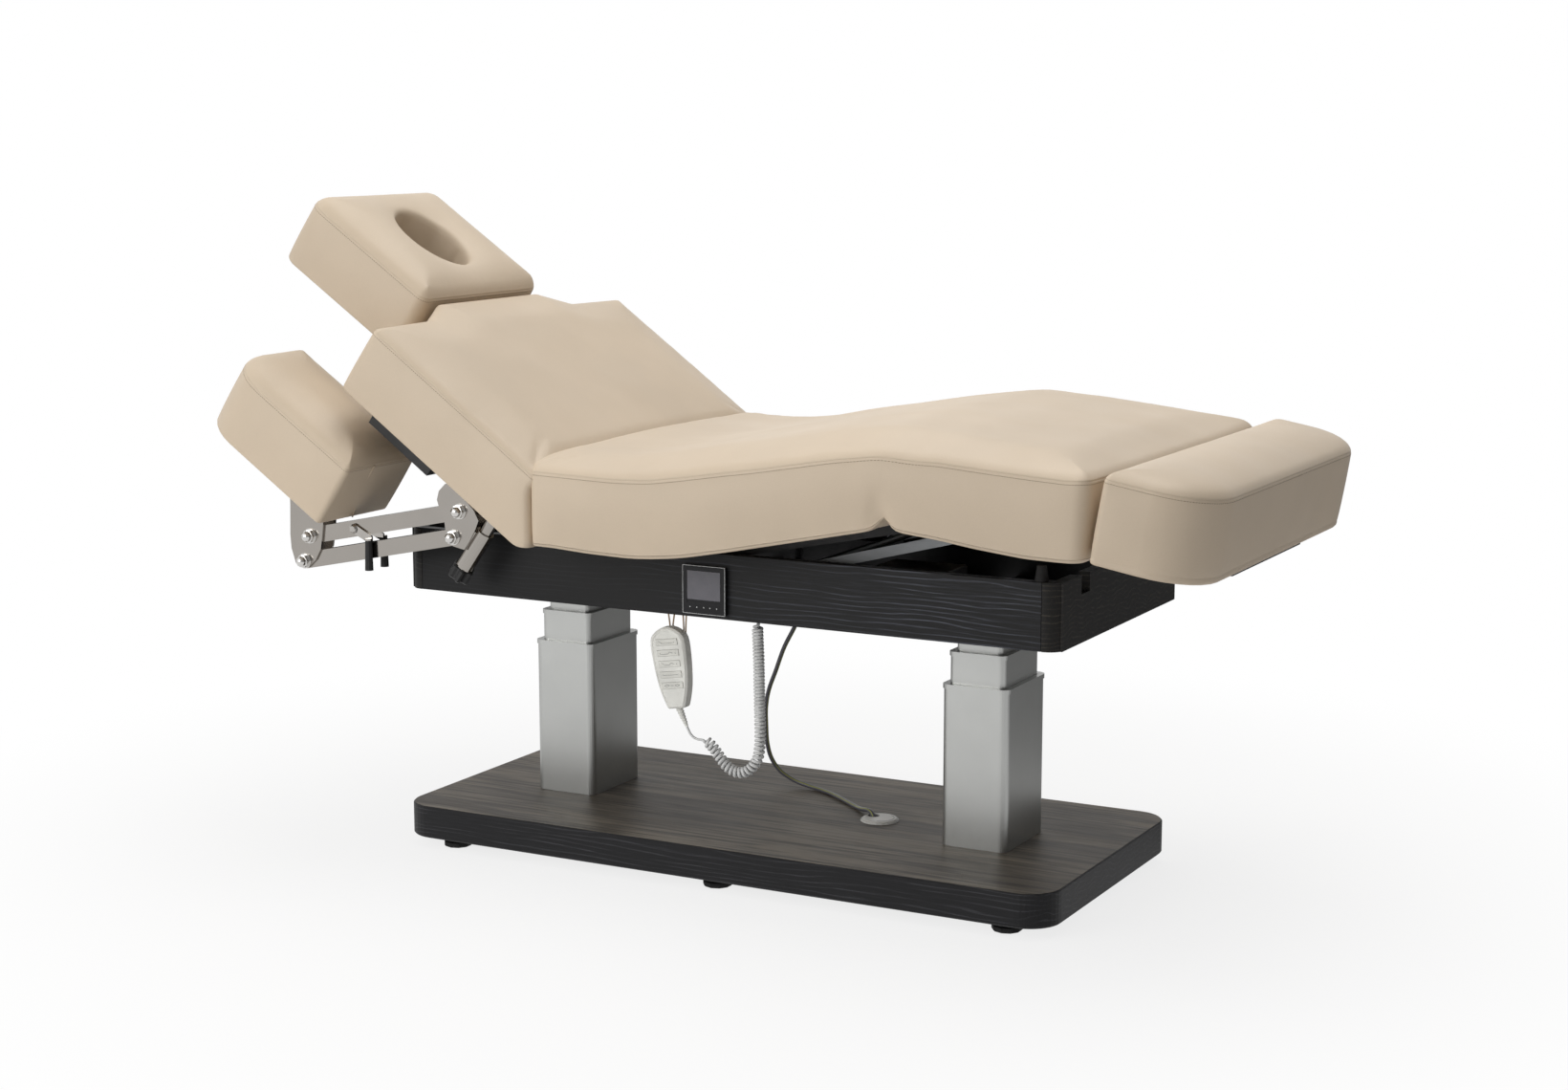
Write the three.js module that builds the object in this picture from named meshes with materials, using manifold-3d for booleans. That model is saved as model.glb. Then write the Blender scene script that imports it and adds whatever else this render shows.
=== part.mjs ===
// Electric spa table: a wooden plinth, two three-stage lifting columns, a wooden cabinet
// round a steel chassis, and an upholstered backrest, leg rest, head cushion and arm cushion.
// Millimetres, +Z up, the head end towards -X, the side with the handset towards -Y.
// The model is drawn about the middle of the plinth, with Z = 0 on the floor, and is moved at
// the end so that its origin is the middle of its own footprint.

import * as THREE from 'three';
import { mergeVertices } from 'three/addons/utils/BufferGeometryUtils.js';
import Module from 'manifold-3d';

const wasm = await Module();
wasm.setup();

// Clearances shared by every sub-part
const gap = 0.3;
const slip = 0.4;
const overrun = 5;
const degree = Math.PI / 180;

// Plinth and its feet
const baseLength = 1315;
const baseWidth = 600;
const baseHeight = 61;
const baseCorner = 61;
const baseBoard = 18;
const baseEdgeRound = 2.5;
const footHeight = 21;
const footRadius = 27;
const footRim = 9;
const footTaper = 5;
const footNeckRadius = 11;
const footEndInset = 94;
const footSideInset = 51;
const traySheet = 6;
const trayRibWidth = 40;
const trayRibHeight = 16;

// Cable grommet in the plinth's top
const grommetX = 196;
const grommetY = 11;
const grommetRim = 36;
const grommetRimHeight = 2.6;
const grommetHole = 30;
const grommetBore = 27;
const grommetDepth = 16;

// Lifting columns, from the floor up; the tops are as raised in the stored pose
const columnX = 426;
const outerTubeX = 126;
const outerTubeY = 174;
const outerTubeTop = 293;
const outerTubeCorner = 14;
const middleTubeX = 107;
const middleTubeY = 156;
const middleTubeShown = 58;
const middleTubeLength = 285;
const middleTubeCorner = 11;
const innerTubeX = 88;
const innerTubeY = 138;
const innerTubeShown = 61;
const innerTubeLength = 294;
const innerTubeCorner = 9;
const tubeWall = 3.5;
const collarHeight = 8;
const collarProud = 2;
const headPlateX = 124;
const headPlateY = 176;
const headPlateSheet = 6;
const cableHoleRadius = 9;
const gearHeight = 14;
const screwRadius = 6;
const screwLength = 240;
const sleeveRadius = 10;
const sleeveLength = 270;
const pushTubeRadius = 14;
const guidePlate = 5;

// Cabinet and the chassis inside it
const cabinetHead = 638;
const cabinetFoot = 663.5;
const cabinetWidth = 572;
const cabinetHeight = 115.5;
const panelBoard = 20;
const cornerPost = 31;
const cornerPostRound = 29;
const postJoint = 0.8;
const notchY = 170;
const notchWidth = 37;
const notchDepth = 32;
const railWidth = 24;
const railHeight = 62;
const railLift = 3;
const beamWidth = 40;
const beamHeight = 10;
const middleBeamX = -135;
const columnBeamHeight = 9;
const cheekSheet = 6;
const cheekInset = 12;
const cheekReach = 17;
const deckSheet = 4;
const deckClear = 1.5;
const deckShort = 17;
const hingeDrop = 15;
const hingeTubeRadius = 12.4;
const hingePinRadius = 6;
const hingePinLength = 16;
const kneePinRadius = 5;

// Rubber stops that the leg rest comes down on
const stopHeight = 26;
const stopRadius = 12;
const stopTop = 8;
const stopInset = 38;
const stopSideInset = 15;

// Heating control on the near panel
const controlSize = 86;
const controlProud = 9;
const controlCorner = 3;
const controlAbove = 7;
const controlBox = 62;
const controlBoxDepth = 17;
const screenWidth = 67;
const screenHeight = 52;
const screenRise = 2;
const screenRecess = 0.8;

// Power unit on the chassis
const powerX = 225;
const powerY = 120;
const powerLength = 150;
const powerWidth = 90;
const powerHeight = 42;
const powerCorner = 6;

// Upholstery
const seatHalfWidth = 414;
const padThickness = 127;
const padCrown = 13;
const padEndRound = 22;
const seatJointX = -284;
const headCushionLength = 294;
const headCushionHalf = 193;
const headCushionThickness = 127;
const headCushionRound = 40;
const headCushionOut = 5.2;
const faceHoleLength = 168;
const faceHoleWidth = 118;
const faceHoleFromEnd = 152;
const footCushionLength = 184;
const footCushionThickness = 131;
const footCushionRound = 104;
const padCorner = 10;
const footCushionTilt = 5;

// Backrest, about its hinge; lengths run up the back from the hinge
const backHingeX = -317;
const backAngle = 35.5;
const backThickness = 131;
const backShoulder = 463;
const backTab = 524;
const backTabHalf = 160;
const backShoulderHalf = 240;
const backRailY = 170;
const backRailSize = 29.4;
const backRailWall = 2.4;
const backRailEnd = 398;
const outriggerY = 350;
const outriggerWidth = 30;
const outriggerHeight = 40;
const outriggerStart = 250;
const outriggerEnd = 405;
const headBarStart = 230;
const headBarStep = 584;
const headBarEnd = 790;
const headInnerY = 98;
const headStrapWidth = 30;
const headRise = 9;
const headTilt = -1.05;

// Leg rest, about its hinge; the stored pose has the knee raised
const thighHingeX = -15;
const thighAngle = 11.6;
const calfAngle = -4.8;
const thighLength = 438.4;
const calfLength = 350;
const deckOverhang = 30;
const deckFlange = 22;
const foldLength = 150;
const kneeCrease = 20;
const kneeCreaseHalf = 16;
const guideHeight = 27;
const guideWidth = 31;
const guideWall = 2.5;
const guideStart = 66;
const footBarStart = 110;
const footPlateLength = 130;
const footJoint = 8;

// Struts that hold the calf section, and the two actuators
const strutX = 120;
const strutZ = 575;
const strutInset = 71;
const strutSheet = 8;
const strutWidth = 18;
const strutTieAlong = 42;
const strutTieRadius = 7;
const strutLugX = 54.4;
const strutLugDrop = 14.4;
const backLeverRadius = 45;
const backLeverAngle = 32.7;
const legLeverRadius = 64;
const legLeverAngle = -13.6;
const actuatorY = 72;
const backPivotX = 18;
const legPivotX = -288;
const backActuatorBody = 196;
const backRodLength = 212;
const legActuatorBody = 168;
const legRodLength = 172;
const rodSpace = 40;
const actuatorRadius = 19;
const rodRadius = 9;
const motorRadius = 19;
const motorLength = 46;
const forkSheet = 6;
const forkHalf = 13;
const pivotPin = 5;
const eyeHalf = 9.6;
const eyeRadius = 11;
const legEyeHole = 6.6;
const backEyeRadius = 14.5;
const backEyeHole = 9.3;
const backEyeLift = 3.5;

// Arm rest: positions are from the upper bolt by the post, as it hangs in the stored pose
const armOut = 59;
const postAlong = 101;
const postRadius = 16.5;
const postTop = 39;
const postLength = 82;
const postPinRadius = 9;
const socketRadius = 13;
const socketFlange = 30;
const socketSheet = 5;
const knobRadius = 22;
const knobLobe = 6;
const knobHeight = 26;
const knobLobes = 6;
const linkLength = 344.2;
const linkDrop = 11.7;
const boltSpacing = 50;
const boltLean = 16.3;
const linkHeight = 30;
const linkHalf = 15.4;
const linkWall = 2.6;
const armPlateSheet = 4;
const armPlateGap = 0.6;
const webReach = 22;
const boltRadius = 4;
const boltHeadRadius = 9.5;
const boltHeadHeight = 5;
const armPlateSize = 115;
const armBracketSize = 185;
const boltFromPost = 57;
const boltBelowPad = 49;
const armFlangeLength = 150;
const armFlangeHalf = 55;
const armCushionLength = 325;
const armCushionHalf = 105;
const armCushionThickness = 128;
const armCushionSlope = 34.3;
const armCushionX = 84;
const armCushionZ = 38.3;
const armCushionRound = 88;
const armCushionCorner = 28;
const leverAlong = 103;
const leverReach = 36;
const leverDrop = 15;
const gripLength = 55;
const gripRadius = 8;
const leverSheet = 4;

// Handset and its hanger
const handsetHeight = 146;
const handsetHalf = 34;
const handsetDepth = 24;
const handsetX = -57;
const handsetZ = 327;
const handsetInset = 1;
const handsetLean = -8.7;
const handsetRound = 3;
const keyCount = 5;
const keyWidth = 44;
const keyHeight = 11;
const keySheet = 2;
const keyRecess = 2.2;
const keyProud = 1.1;
const keyPitch = 19.5;
const keyFirst = 42;
const keyRib = 3;
const bootLength = 36;
const bootRadius = 6.5;
const bootTip = 2.9;
const bootTurn = -17;
const hookWire = 1.8;
const hookLeft = -86;
const hookRight = -54;
const hookDrop = 66;

// Cords
const leadRadius = 1.8;
const coilRadius = 8.3;
const coilTurns = 38;
const coilSides = 5;
const coilSteps = 8;
const cableRadius = 3.75;
const glandRadius = 7;
const glandHeight = 6;
const coilGlandX = 84;
const coilGlandInset = 34;
const cableGlandX = 4;
const cableGlandY = 100;

// Heights that follow from the sizes above
const baseTop = footHeight + baseHeight;
const outerTop = baseTop + outerTubeTop;
const middleTop = outerTop + middleTubeShown;
const cabinetBottom = middleTop + innerTubeShown;
const cabinetTop = cabinetBottom + cabinetHeight;
const padUnder = cabinetTop + deckClear;
const hingeZ = padUnder - hingeDrop;
const railBottom = cabinetBottom + railLift;
const railTop = railBottom + railHeight;
const innerTop = cabinetBottom + headPlateSheet;
const columnBeamBottom = innerTop + headPlateSheet + gap;
const railOuter = cabinetWidth / 2 - panelBoard - gap;
const railInner = railOuter - railWidth;
const cheekOuter = railOuter - cheekInset + cheekSheet;
const cheekInner = railOuter - cheekInset;
const nearFace = -cabinetWidth / 2;
const strutY = cabinetWidth / 2 - strutInset;
const deckHalfWidth = strutY + deckOverhang;
const armY = nearFace - armOut;
const handsetY = nearFace + handsetInset;
const coilTop = [coilGlandX, nearFace + coilGlandInset];
const cableTop = [cableGlandX, cableGlandY];

// Finishes
function finish(color, roughness, metalness) {
  return new THREE.MeshStandardMaterial({ color, roughness, metalness });
}
const stainedOak = finish(0x2a2a2c, 0.55, 0);
const plinthOak = finish(0x4a4540, 0.5, 0);
const blackSteel = finish(0x1a1a1c, 0.5, 0.6);
const blackPlastic = finish(0x141415, 0.55, 0);
const rubber = finish(0x0f0f10, 0.9, 0);
const satinAluminium = finish(0xb4b6b6, 0.4, 0.9);
const greyPlastic = finish(0x9a9c9c, 0.5, 0);
const chrome = finish(0xd8d8da, 0.12, 1);
const zincSteel = finish(0x8d9094, 0.45, 0.8);
const tanVinyl = finish(0xcbb89f, 0.6, 0);
const glossBlack = finish(0x08080a, 0.12, 0);
const whitePlastic = finish(0xe4e5e1, 0.45, 0);
const greyCord = finish(0xc9cac8, 0.6, 0);
const darkCord = finish(0x77777a, 0.6, 0);
const wireBrown = finish(0x8b7d6c, 0.4, 0.5);

// Shapes, cuts and joins

function solid(geometry) {
  const bare = geometry.index ? geometry.toNonIndexed() : geometry.clone();
  for (const name of Object.keys(bare.attributes)) {
    if (name !== 'position') bare.deleteAttribute(name);
  }
  const merged = mergeVertices(bare);
  const vertProperties = new Float32Array(merged.attributes.position.array);
  const triVerts = new Uint32Array(merged.index.array);
  return new wasm.Manifold(new wasm.Mesh({ numProp: 3, vertProperties, triVerts }));
}

function toGeometry(body) {
  const mesh = body.getMesh();
  const geometry = new THREE.BufferGeometry();
  geometry.setAttribute('position', new THREE.BufferAttribute(mesh.vertProperties, 3));
  geometry.setIndex(new THREE.BufferAttribute(mesh.triVerts, 1));
  geometry.computeVertexNormals();
  return geometry;
}

function join(pieces) {
  return pieces.map(asSolid).reduce((whole, piece) => whole.add(piece));
}

function cut(piece, tools) {
  return tools.map(asSolid).reduce((left, tool) => left.subtract(tool), asSolid(piece));
}

function asSolid(piece) {
  return piece.isBufferGeometry ? solid(piece) : piece;
}

function block(x0, x1, y0, y1, z0, z1) {
  const geometry = new THREE.BoxGeometry(x1 - x0, y1 - y0, z1 - z0);
  geometry.translate((x0 + x1) / 2, (y0 + y1) / 2, (z0 + z1) / 2);
  return geometry;
}

function roundedRectangle(halfX, halfY, radius) {
  const shape = new THREE.Shape();
  shape.moveTo(-halfX + radius, -halfY);
  shape.lineTo(halfX - radius, -halfY);
  shape.absarc(halfX - radius, -halfY + radius, radius, -Math.PI / 2, 0);
  shape.lineTo(halfX, halfY - radius);
  shape.absarc(halfX - radius, halfY - radius, radius, 0, Math.PI / 2);
  shape.lineTo(-halfX + radius, halfY);
  shape.absarc(-halfX + radius, halfY - radius, radius, Math.PI / 2, Math.PI);
  shape.lineTo(-halfX, -halfY + radius);
  shape.absarc(-halfX + radius, -halfY + radius, radius, Math.PI, 1.5 * Math.PI);
  return shape;
}

function upright(shape, z0, z1, curveSegments = 3) {
  const depth = z1 - z0;
  const geometry = new THREE.ExtrudeGeometry(shape, { depth, bevelEnabled: false, curveSegments });
  return geometry.translate(0, 0, z0);
}

function bevelled(shape, z0, z1, bevel, curveSegments) {
  const geometry = new THREE.ExtrudeGeometry(shape, {
    depth: z1 - z0 - 2 * bevel,
    bevelThickness: bevel,
    bevelSize: bevel,
    bevelOffset: -bevel,
    bevelSegments: 1,
    curveSegments,
  });
  return geometry.translate(0, 0, z0 + bevel);
}

function tubeSection(sizeX, sizeY, corner, wall, z0, z1) {
  const shape = roundedRectangle(sizeX / 2, sizeY / 2, corner);
  shape.holes.push(roundedRectangle(sizeX / 2 - wall, sizeY / 2 - wall, corner - wall));
  return upright(shape, z0, z1);
}

// A plate whose outline lies in X and Z, between two values of Y
function sidePlate(points, y0, y1, curveSegments = 6) {
  const shape = points.isShape ? points : new THREE.Shape(points.map(([x, z]) => new THREE.Vector2(x, z)));
  const geometry = new THREE.ExtrudeGeometry(shape, { depth: y1 - y0, bevelEnabled: false, curveSegments });
  geometry.rotateX(Math.PI / 2);
  return geometry.translate(0, y1, 0);
}

// A round bar along Y
function crossBar(radius, x, z, y0, y1, sides = 12) {
  const geometry = new THREE.CylinderGeometry(radius, radius, y1 - y0, sides);
  return geometry.translate(x, (y0 + y1) / 2, z);
}

// A round bar along Z
function post(radius, x, y, z0, z1, sides = 12, topRadius = radius) {
  const geometry = new THREE.CylinderGeometry(topRadius, radius, z1 - z0, sides);
  geometry.rotateX(Math.PI / 2);
  return geometry.translate(x, y, (z0 + z1) / 2);
}

// A round bar along X
function lengthBar(radius, y, z, x0, x1, sides = 14) {
  const geometry = new THREE.CylinderGeometry(radius, radius, x1 - x0, sides);
  geometry.rotateZ(Math.PI / 2);
  return geometry.translate((x0 + x1) / 2, y, z);
}

function mirroredY(pieces) {
  return pieces.concat(pieces.map((piece) => asSolid(piece).mirror([0, 1, 0])));
}

// A closed skin through rings of points that all have the same count
function skin(rings) {
  const count = rings[0].length;
  const points = rings.flat();
  const faces = [];
  for (let ring = 0; ring + 1 < rings.length; ring++) {
    for (let side = 0; side < count; side++) {
      const next = (side + 1) % count;
      const a = ring * count + side;
      const b = ring * count + next;
      faces.push(a, b, b + count, a, b + count, a + count);
    }
  }
  for (const end of [0, rings.length - 1]) {
    const ring = rings[end];
    const middle = ring.reduce((sum, point) => sum.add(point), new THREE.Vector3());
    points.push(middle.divideScalar(count));
    for (let side = 0; side < count; side++) {
      const a = end * count + side;
      const b = end * count + ((side + 1) % count);
      faces.push(points.length - 1, end ? a : b, end ? b : a);
    }
  }
  const geometry = new THREE.BufferGeometry();
  geometry.setFromPoints(points);
  geometry.setIndex(faces);
  geometry.computeVertexNormals();
  return geometry;
}

// Upholstery: stations along a cushion, each with its two sides, carry one padded section

const sideHeightShares = [0.02, 0.3, 0.7, 0.97];
const sideDrawShares = [0.0, 0.9, 1.0, 0.0];
const topWidthShares = [0.0, 0.035, 0.14, 0.32, 0.5, 0.68, 0.86, 0.965, 1.0];
const topCrownShares = [0.0, 0.35, 0.72, 0.95, 1.0, 0.95, 0.72, 0.35, 0.0];
const underWidthShares = [0.985, 0.5, 0.015];
const sideDraw = 3;
const endFillShares = [[0, 0.45], [0.18, 0.7], [0.64, 0.92], [1.82, 1]];

// Each point is across, above the underside
function paddedSection(near, far, thickness, crown, lift = 0) {
  const width = far - near;
  const edge = thickness;
  const rise = topCrownShares.map((share) => edge + crown * share);
  const top = topWidthShares.map((share, i) => [near + width * share, rise[i]]);
  const side = sideHeightShares.map((share, i) => (
    [sideDraw * sideDrawShares[i], lift + (edge - lift) * share]
  ));
  const nearSide = side.map(([draw, height]) => [near + draw, height]);
  const farSide = side.map(([draw, height]) => [far - draw, height]).reverse();
  const under = underWidthShares.map((share) => [near + width * share, lift * (share === 0.5 ? 0 : 1)]);
  return [...nearSide, ...top, ...farSide, ...under].reverse();
}

// Half width at a place near a rounded corner
function cornered(half, radius, fromEnd) {
  if (fromEnd >= radius) return half;
  return half - radius + Math.sqrt(radius ** 2 - (radius - fromEnd) ** 2);
}

const endShares = [0.02, 0.14, 0.4, 1];

function endPlaces(radius) {
  return endShares.map((share) => radius * share);
}

function roundedEnds(startNear, startFar, endNear, endFar) {
  return { startNear, startFar, endNear, endFar };
}

// Stations of a flat cushion from x0 to x1, with a rounded corner at each of its four ends
function flatStations(x0, x1, half, corners) {
  const length = x1 - x0;
  const startPlaces = endPlaces(Math.max(corners.startNear, corners.startFar));
  const lastPlaces = endPlaces(Math.max(corners.endNear, corners.endFar)).map((place) => length - place);
  const places = [0, ...startPlaces, length / 2, ...lastPlaces.reverse(), length];
  const halfAt = (place, start, end) => (
    Math.min(cornered(half, start, place), cornered(half, end, length - place))
  );
  return places.map((place) => ({
    x: x0 + place,
    near: -halfAt(place, corners.startNear, corners.endNear),
    far: halfAt(place, corners.startFar, corners.endFar),
    fill: Math.min(1, (Math.min(place, length - place) + padEndRound / 4) / (2 * padEndRound)),
  }));
}

function flatCushion(stations, thickness, crown) {
  return skin(stations.map(({ x, near, far, fill }) => {
    const section = paddedSection(near, far, thickness - (1 - fill) * padCrown / 2, crown * fill);
    return section.map(([y, z]) => new THREE.Vector3(x, y, z));
  }));
}

// Assembly

const table = new THREE.Group();
const cords = [];

function add(name, piece, material, parent = table) {
  const geometry = piece.isBufferGeometry ? piece : toGeometry(piece);
  const mesh = new THREE.Mesh(geometry, material);
  mesh.name = name;
  parent.add(mesh);
  return mesh;
}

function frameAt(parent, x, y, z, turn) {
  const frame = new THREE.Group();
  frame.position.set(x, y, z);
  frame.rotation.y = turn * degree;
  parent.add(frame);
  return frame;
}

// Plinth

function footPlaces() {
  const footX = baseLength / 2 - footEndInset;
  const footY = baseWidth / 2 - footSideInset;
  const places = [];
  for (const [end, x] of [['head', -1], ['middle', 0], ['leg', 1]]) {
    for (const [side, y] of [['near', -1], ['far', 1]]) {
      places.push([`${end}_${side}_foot`, x * footX, y * footY]);
    }
  }
  return places;
}

function buildPlinth() {
  const outline = roundedRectangle(baseLength / 2, baseWidth / 2, baseCorner);
  const pocketX = baseLength / 2 - baseBoard;
  const pocketY = baseWidth / 2 - baseBoard;
  const pocketCorner = baseCorner - baseBoard;
  const pocketTop = baseTop - baseBoard;
  const pocketShape = roundedRectangle(pocketX, pocketY, pocketCorner);
  const pocket = upright(pocketShape, footHeight - overrun, pocketTop, 4);
  const hole = post(grommetHole, grommetX, grommetY, pocketTop - overrun, baseTop + overrun, 24);
  const cover = cut(bevelled(outline, footHeight, baseTop, baseEdgeRound, 5), [pocket, hole]);
  add('base_cover', cover, plinthOak);

  const sheetTop = pocketTop - gap;
  const sheetBottom = sheetTop - traySheet;
  const trayOutline = roundedRectangle(pocketX - gap, pocketY - gap, pocketCorner - gap);
  const ribs = [-1, 1].map((side) => {
    const middle = side * (baseLength / 2 - footEndInset - trayRibWidth);
    const ribTop = sheetBottom + overrun / 2;
    return block(middle - trayRibWidth / 2, middle + trayRibWidth / 2,
      -pocketY + baseBoard, pocketY - baseBoard, sheetBottom - trayRibHeight, ribTop);
  });
  const throat = post(grommetHole, grommetX, grommetY, sheetBottom - overrun, sheetTop + overrun, 16);
  add('base_tray', cut(join([upright(trayOutline, sheetBottom, sheetTop), ...ribs]), [throat]), blackSteel);

  const profile = [[0, 0], [footRadius - footTaper / 2, 0], [footRadius, footTaper / 2],
    [footRadius, footRim], [footRadius - footTaper, footRim + footTaper / 2],
    [footNeckRadius, footRim + footTaper], [footNeckRadius, sheetBottom - gap], [0, sheetBottom - gap]];
  for (const [name, x, y] of footPlaces()) {
    const foot = new THREE.LatheGeometry(profile.map(([r, z]) => new THREE.Vector2(r, z)), 10);
    add(name, foot.rotateX(Math.PI / 2), rubber).position.set(x, y, 0);
  }
}

function buildGrommet() {
  const rimBottom = baseTop + gap;
  const bottom = baseTop - grommetDepth;
  const rim = post(grommetRim, grommetX, grommetY, rimBottom, rimBottom + grommetRimHeight, 22,
    grommetRim - grommetRimHeight / 2);
  const barrel = post(grommetHole - slip, grommetX, grommetY, bottom, baseTop + overrun / 5, 22);
  const bore = post(grommetBore, grommetX, grommetY, bottom - overrun, baseTop + overrun, 22);
  add('cable_grommet', cut(join([rim, barrel]), [bore]), greyPlastic);
}

// Lifting columns

function buildColumns() {
  for (const [end, x] of [['head', -columnX], ['foot', columnX]]) {
    const stages = {
      outer_tube: outerStage(),
      lift_screw: liftScrew(),
      middle_tube: middleStage(),
      inner_tube: innerStage(),
    };
    for (const [stage, body] of Object.entries(stages)) {
      const material = stage === 'lift_screw' ? zincSteel : satinAluminium;
      add(`${end}_${stage}`, body, material).position.x = x;
    }
  }
}

// The fixed stage, with its collar
function outerStage() {
  const tube = tubeSection(outerTubeX, outerTubeY, outerTubeCorner, tubeWall, baseTop + gap, outerTop - gap);
  return join([tube, collar(outerTubeX, outerTubeY, outerTubeCorner,
    middleTubeX, middleTubeY, middleTubeCorner, outerTop)]);
}

// The middle stage, with its collar and the sleeve nut that climbs the screw
function middleStage() {
  const bottom = middleTop - middleTubeLength;
  const tube = tubeSection(middleTubeX, middleTubeY, middleTubeCorner, tubeWall, bottom, middleTop - gap);
  const guide = guidedTube(middleTubeX, middleTubeY, middleTubeCorner, sleeveRadius, screwRadius + slip,
    bottom, bottom + sleeveLength);
  return join([tube, guide, collar(middleTubeX, middleTubeY, middleTubeCorner,
    innerTubeX, innerTubeY, innerTubeCorner, middleTop)]);
}

// The top stage, with the push tube that the sleeve slides in and the plate under the chassis
function innerStage() {
  const bottom = innerTop - innerTubeLength;
  const top = innerTop + overrun / 5;
  const tube = tubeSection(innerTubeX, innerTubeY, innerTubeCorner, tubeWall, bottom, top);
  const guide = guidedTube(innerTubeX, innerTubeY, innerTubeCorner, pushTubeRadius, sleeveRadius + slip,
    bottom, top);
  const plate = block(-headPlateX / 2, headPlateX / 2, -headPlateY / 2, headPlateY / 2,
    innerTop, innerTop + headPlateSheet);
  const cableHole = post(cableHoleRadius, 0, innerTubeY / 3, innerTop - overrun, innerTop + 2 * overrun, 8);
  return cut(join([tube, guide, plate]), mirroredY([cableHole]));
}

// A rim on top of one tube that guides the tube inside it
function collar(sizeX, sizeY, corner, throatX, throatY, throatCorner, top) {
  const shape = roundedRectangle(sizeX / 2 + collarProud, sizeY / 2 + collarProud, corner + collarProud);
  const rim = upright(shape, top - collarHeight, top);
  const throat = roundedRectangle(throatX / 2 + slip, throatY / 2 + slip, throatCorner + slip);
  return cut(rim, [upright(throat, top - collarHeight - overrun, top + overrun)]);
}

// Gear housing and lifting screw at the foot of one column
function liftScrew() {
  const halfX = innerTubeX / 2 - 2 * tubeWall;
  const halfY = innerTubeY / 2 - 2 * tubeWall;
  const bottom = baseTop + gap;
  const housing = upright(roundedRectangle(halfX, halfY, innerTubeCorner), bottom, bottom + gearHeight);
  return join([housing, post(screwRadius, 0, 0, bottom + gearHeight / 2, bottom + screwLength, 10)]);
}

// A tube on the column's axis, on a guide plate that closes the foot of its own section
function guidedTube(sizeX, sizeY, corner, radius, bore, bottom, top) {
  const inset = tubeWall / 2;
  const plate = upright(roundedRectangle(sizeX / 2 - inset, sizeY / 2 - inset, corner - inset),
    bottom, bottom + guidePlate);
  const hole = post(bore, 0, 0, bottom - overrun, top + overrun, 10);
  return cut(join([plate, post(radius, 0, 0, bottom, top, 10)]), [hole]);
}

// Cabinet

function buildCabinet() {
  const half = cabinetWidth / 2;
  const headX = -cabinetHead + cornerPost + postJoint;
  const footX = cabinetFoot - cornerPost - postJoint;
  const controlZ = controlMiddle();
  const windowHalf = controlBox / 2 + slip;
  const window = block(-windowHalf, windowHalf, -half - overrun, -half + panelBoard + overrun,
    controlZ - windowHalf, controlZ + windowHalf);
  const near = block(headX, footX, -half, -half + panelBoard, cabinetBottom, cabinetTop);
  add('near_side_panel', cut(near, [window]), stainedOak);
  add('far_side_panel', block(headX, footX, half - panelBoard, half, cabinetBottom, cabinetTop), stainedOak);

  const footEnd = endPanel(cabinetFoot);
  add('foot_end_panel', footEnd, stainedOak);
  add('head_end_panel', endPanel(cabinetHead).mirror([1, 0, 0]), stainedOak);
}

// One end of the cabinet: a board between two rounded corner posts, notched for the rails
function endPanel(x) {
  const half = cabinetWidth / 2;
  const boardHalf = half - cornerPost / 2;
  const board = block(x - panelBoard, x, -boardHalf, boardHalf, cabinetBottom, cabinetTop);
  const notches = [-notchY, notchY].map((y) => block(x - panelBoard - overrun, x + overrun,
    y - notchWidth / 2, y + notchWidth / 2, cabinetTop - notchDepth, cabinetTop + overrun));
  return cut(join([board, ...mirroredY([cornerPostAt(x, half)])]), notches);
}

// A square post with its outward corner rounded
function cornerPostAt(x, y) {
  const middle = cornerPost - cornerPostRound;
  const shape = new THREE.Shape();
  shape.moveTo(0, 0);
  shape.lineTo(cornerPost, 0);
  shape.lineTo(cornerPost, middle);
  shape.absarc(middle, middle, cornerPostRound, 0, Math.PI / 2);
  shape.lineTo(0, cornerPost);
  return upright(shape, cabinetBottom, cabinetTop, 8).translate(x - cornerPost, y - cornerPost, 0);
}

function controlMiddle() {
  return cabinetBottom + controlAbove + controlSize / 2;
}

// Chassis: rails, beams and hinge cheeks, all welded together

const beamPlaces = [backHingeX + beamWidth / 2, middleBeamX, backPivotX];

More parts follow.
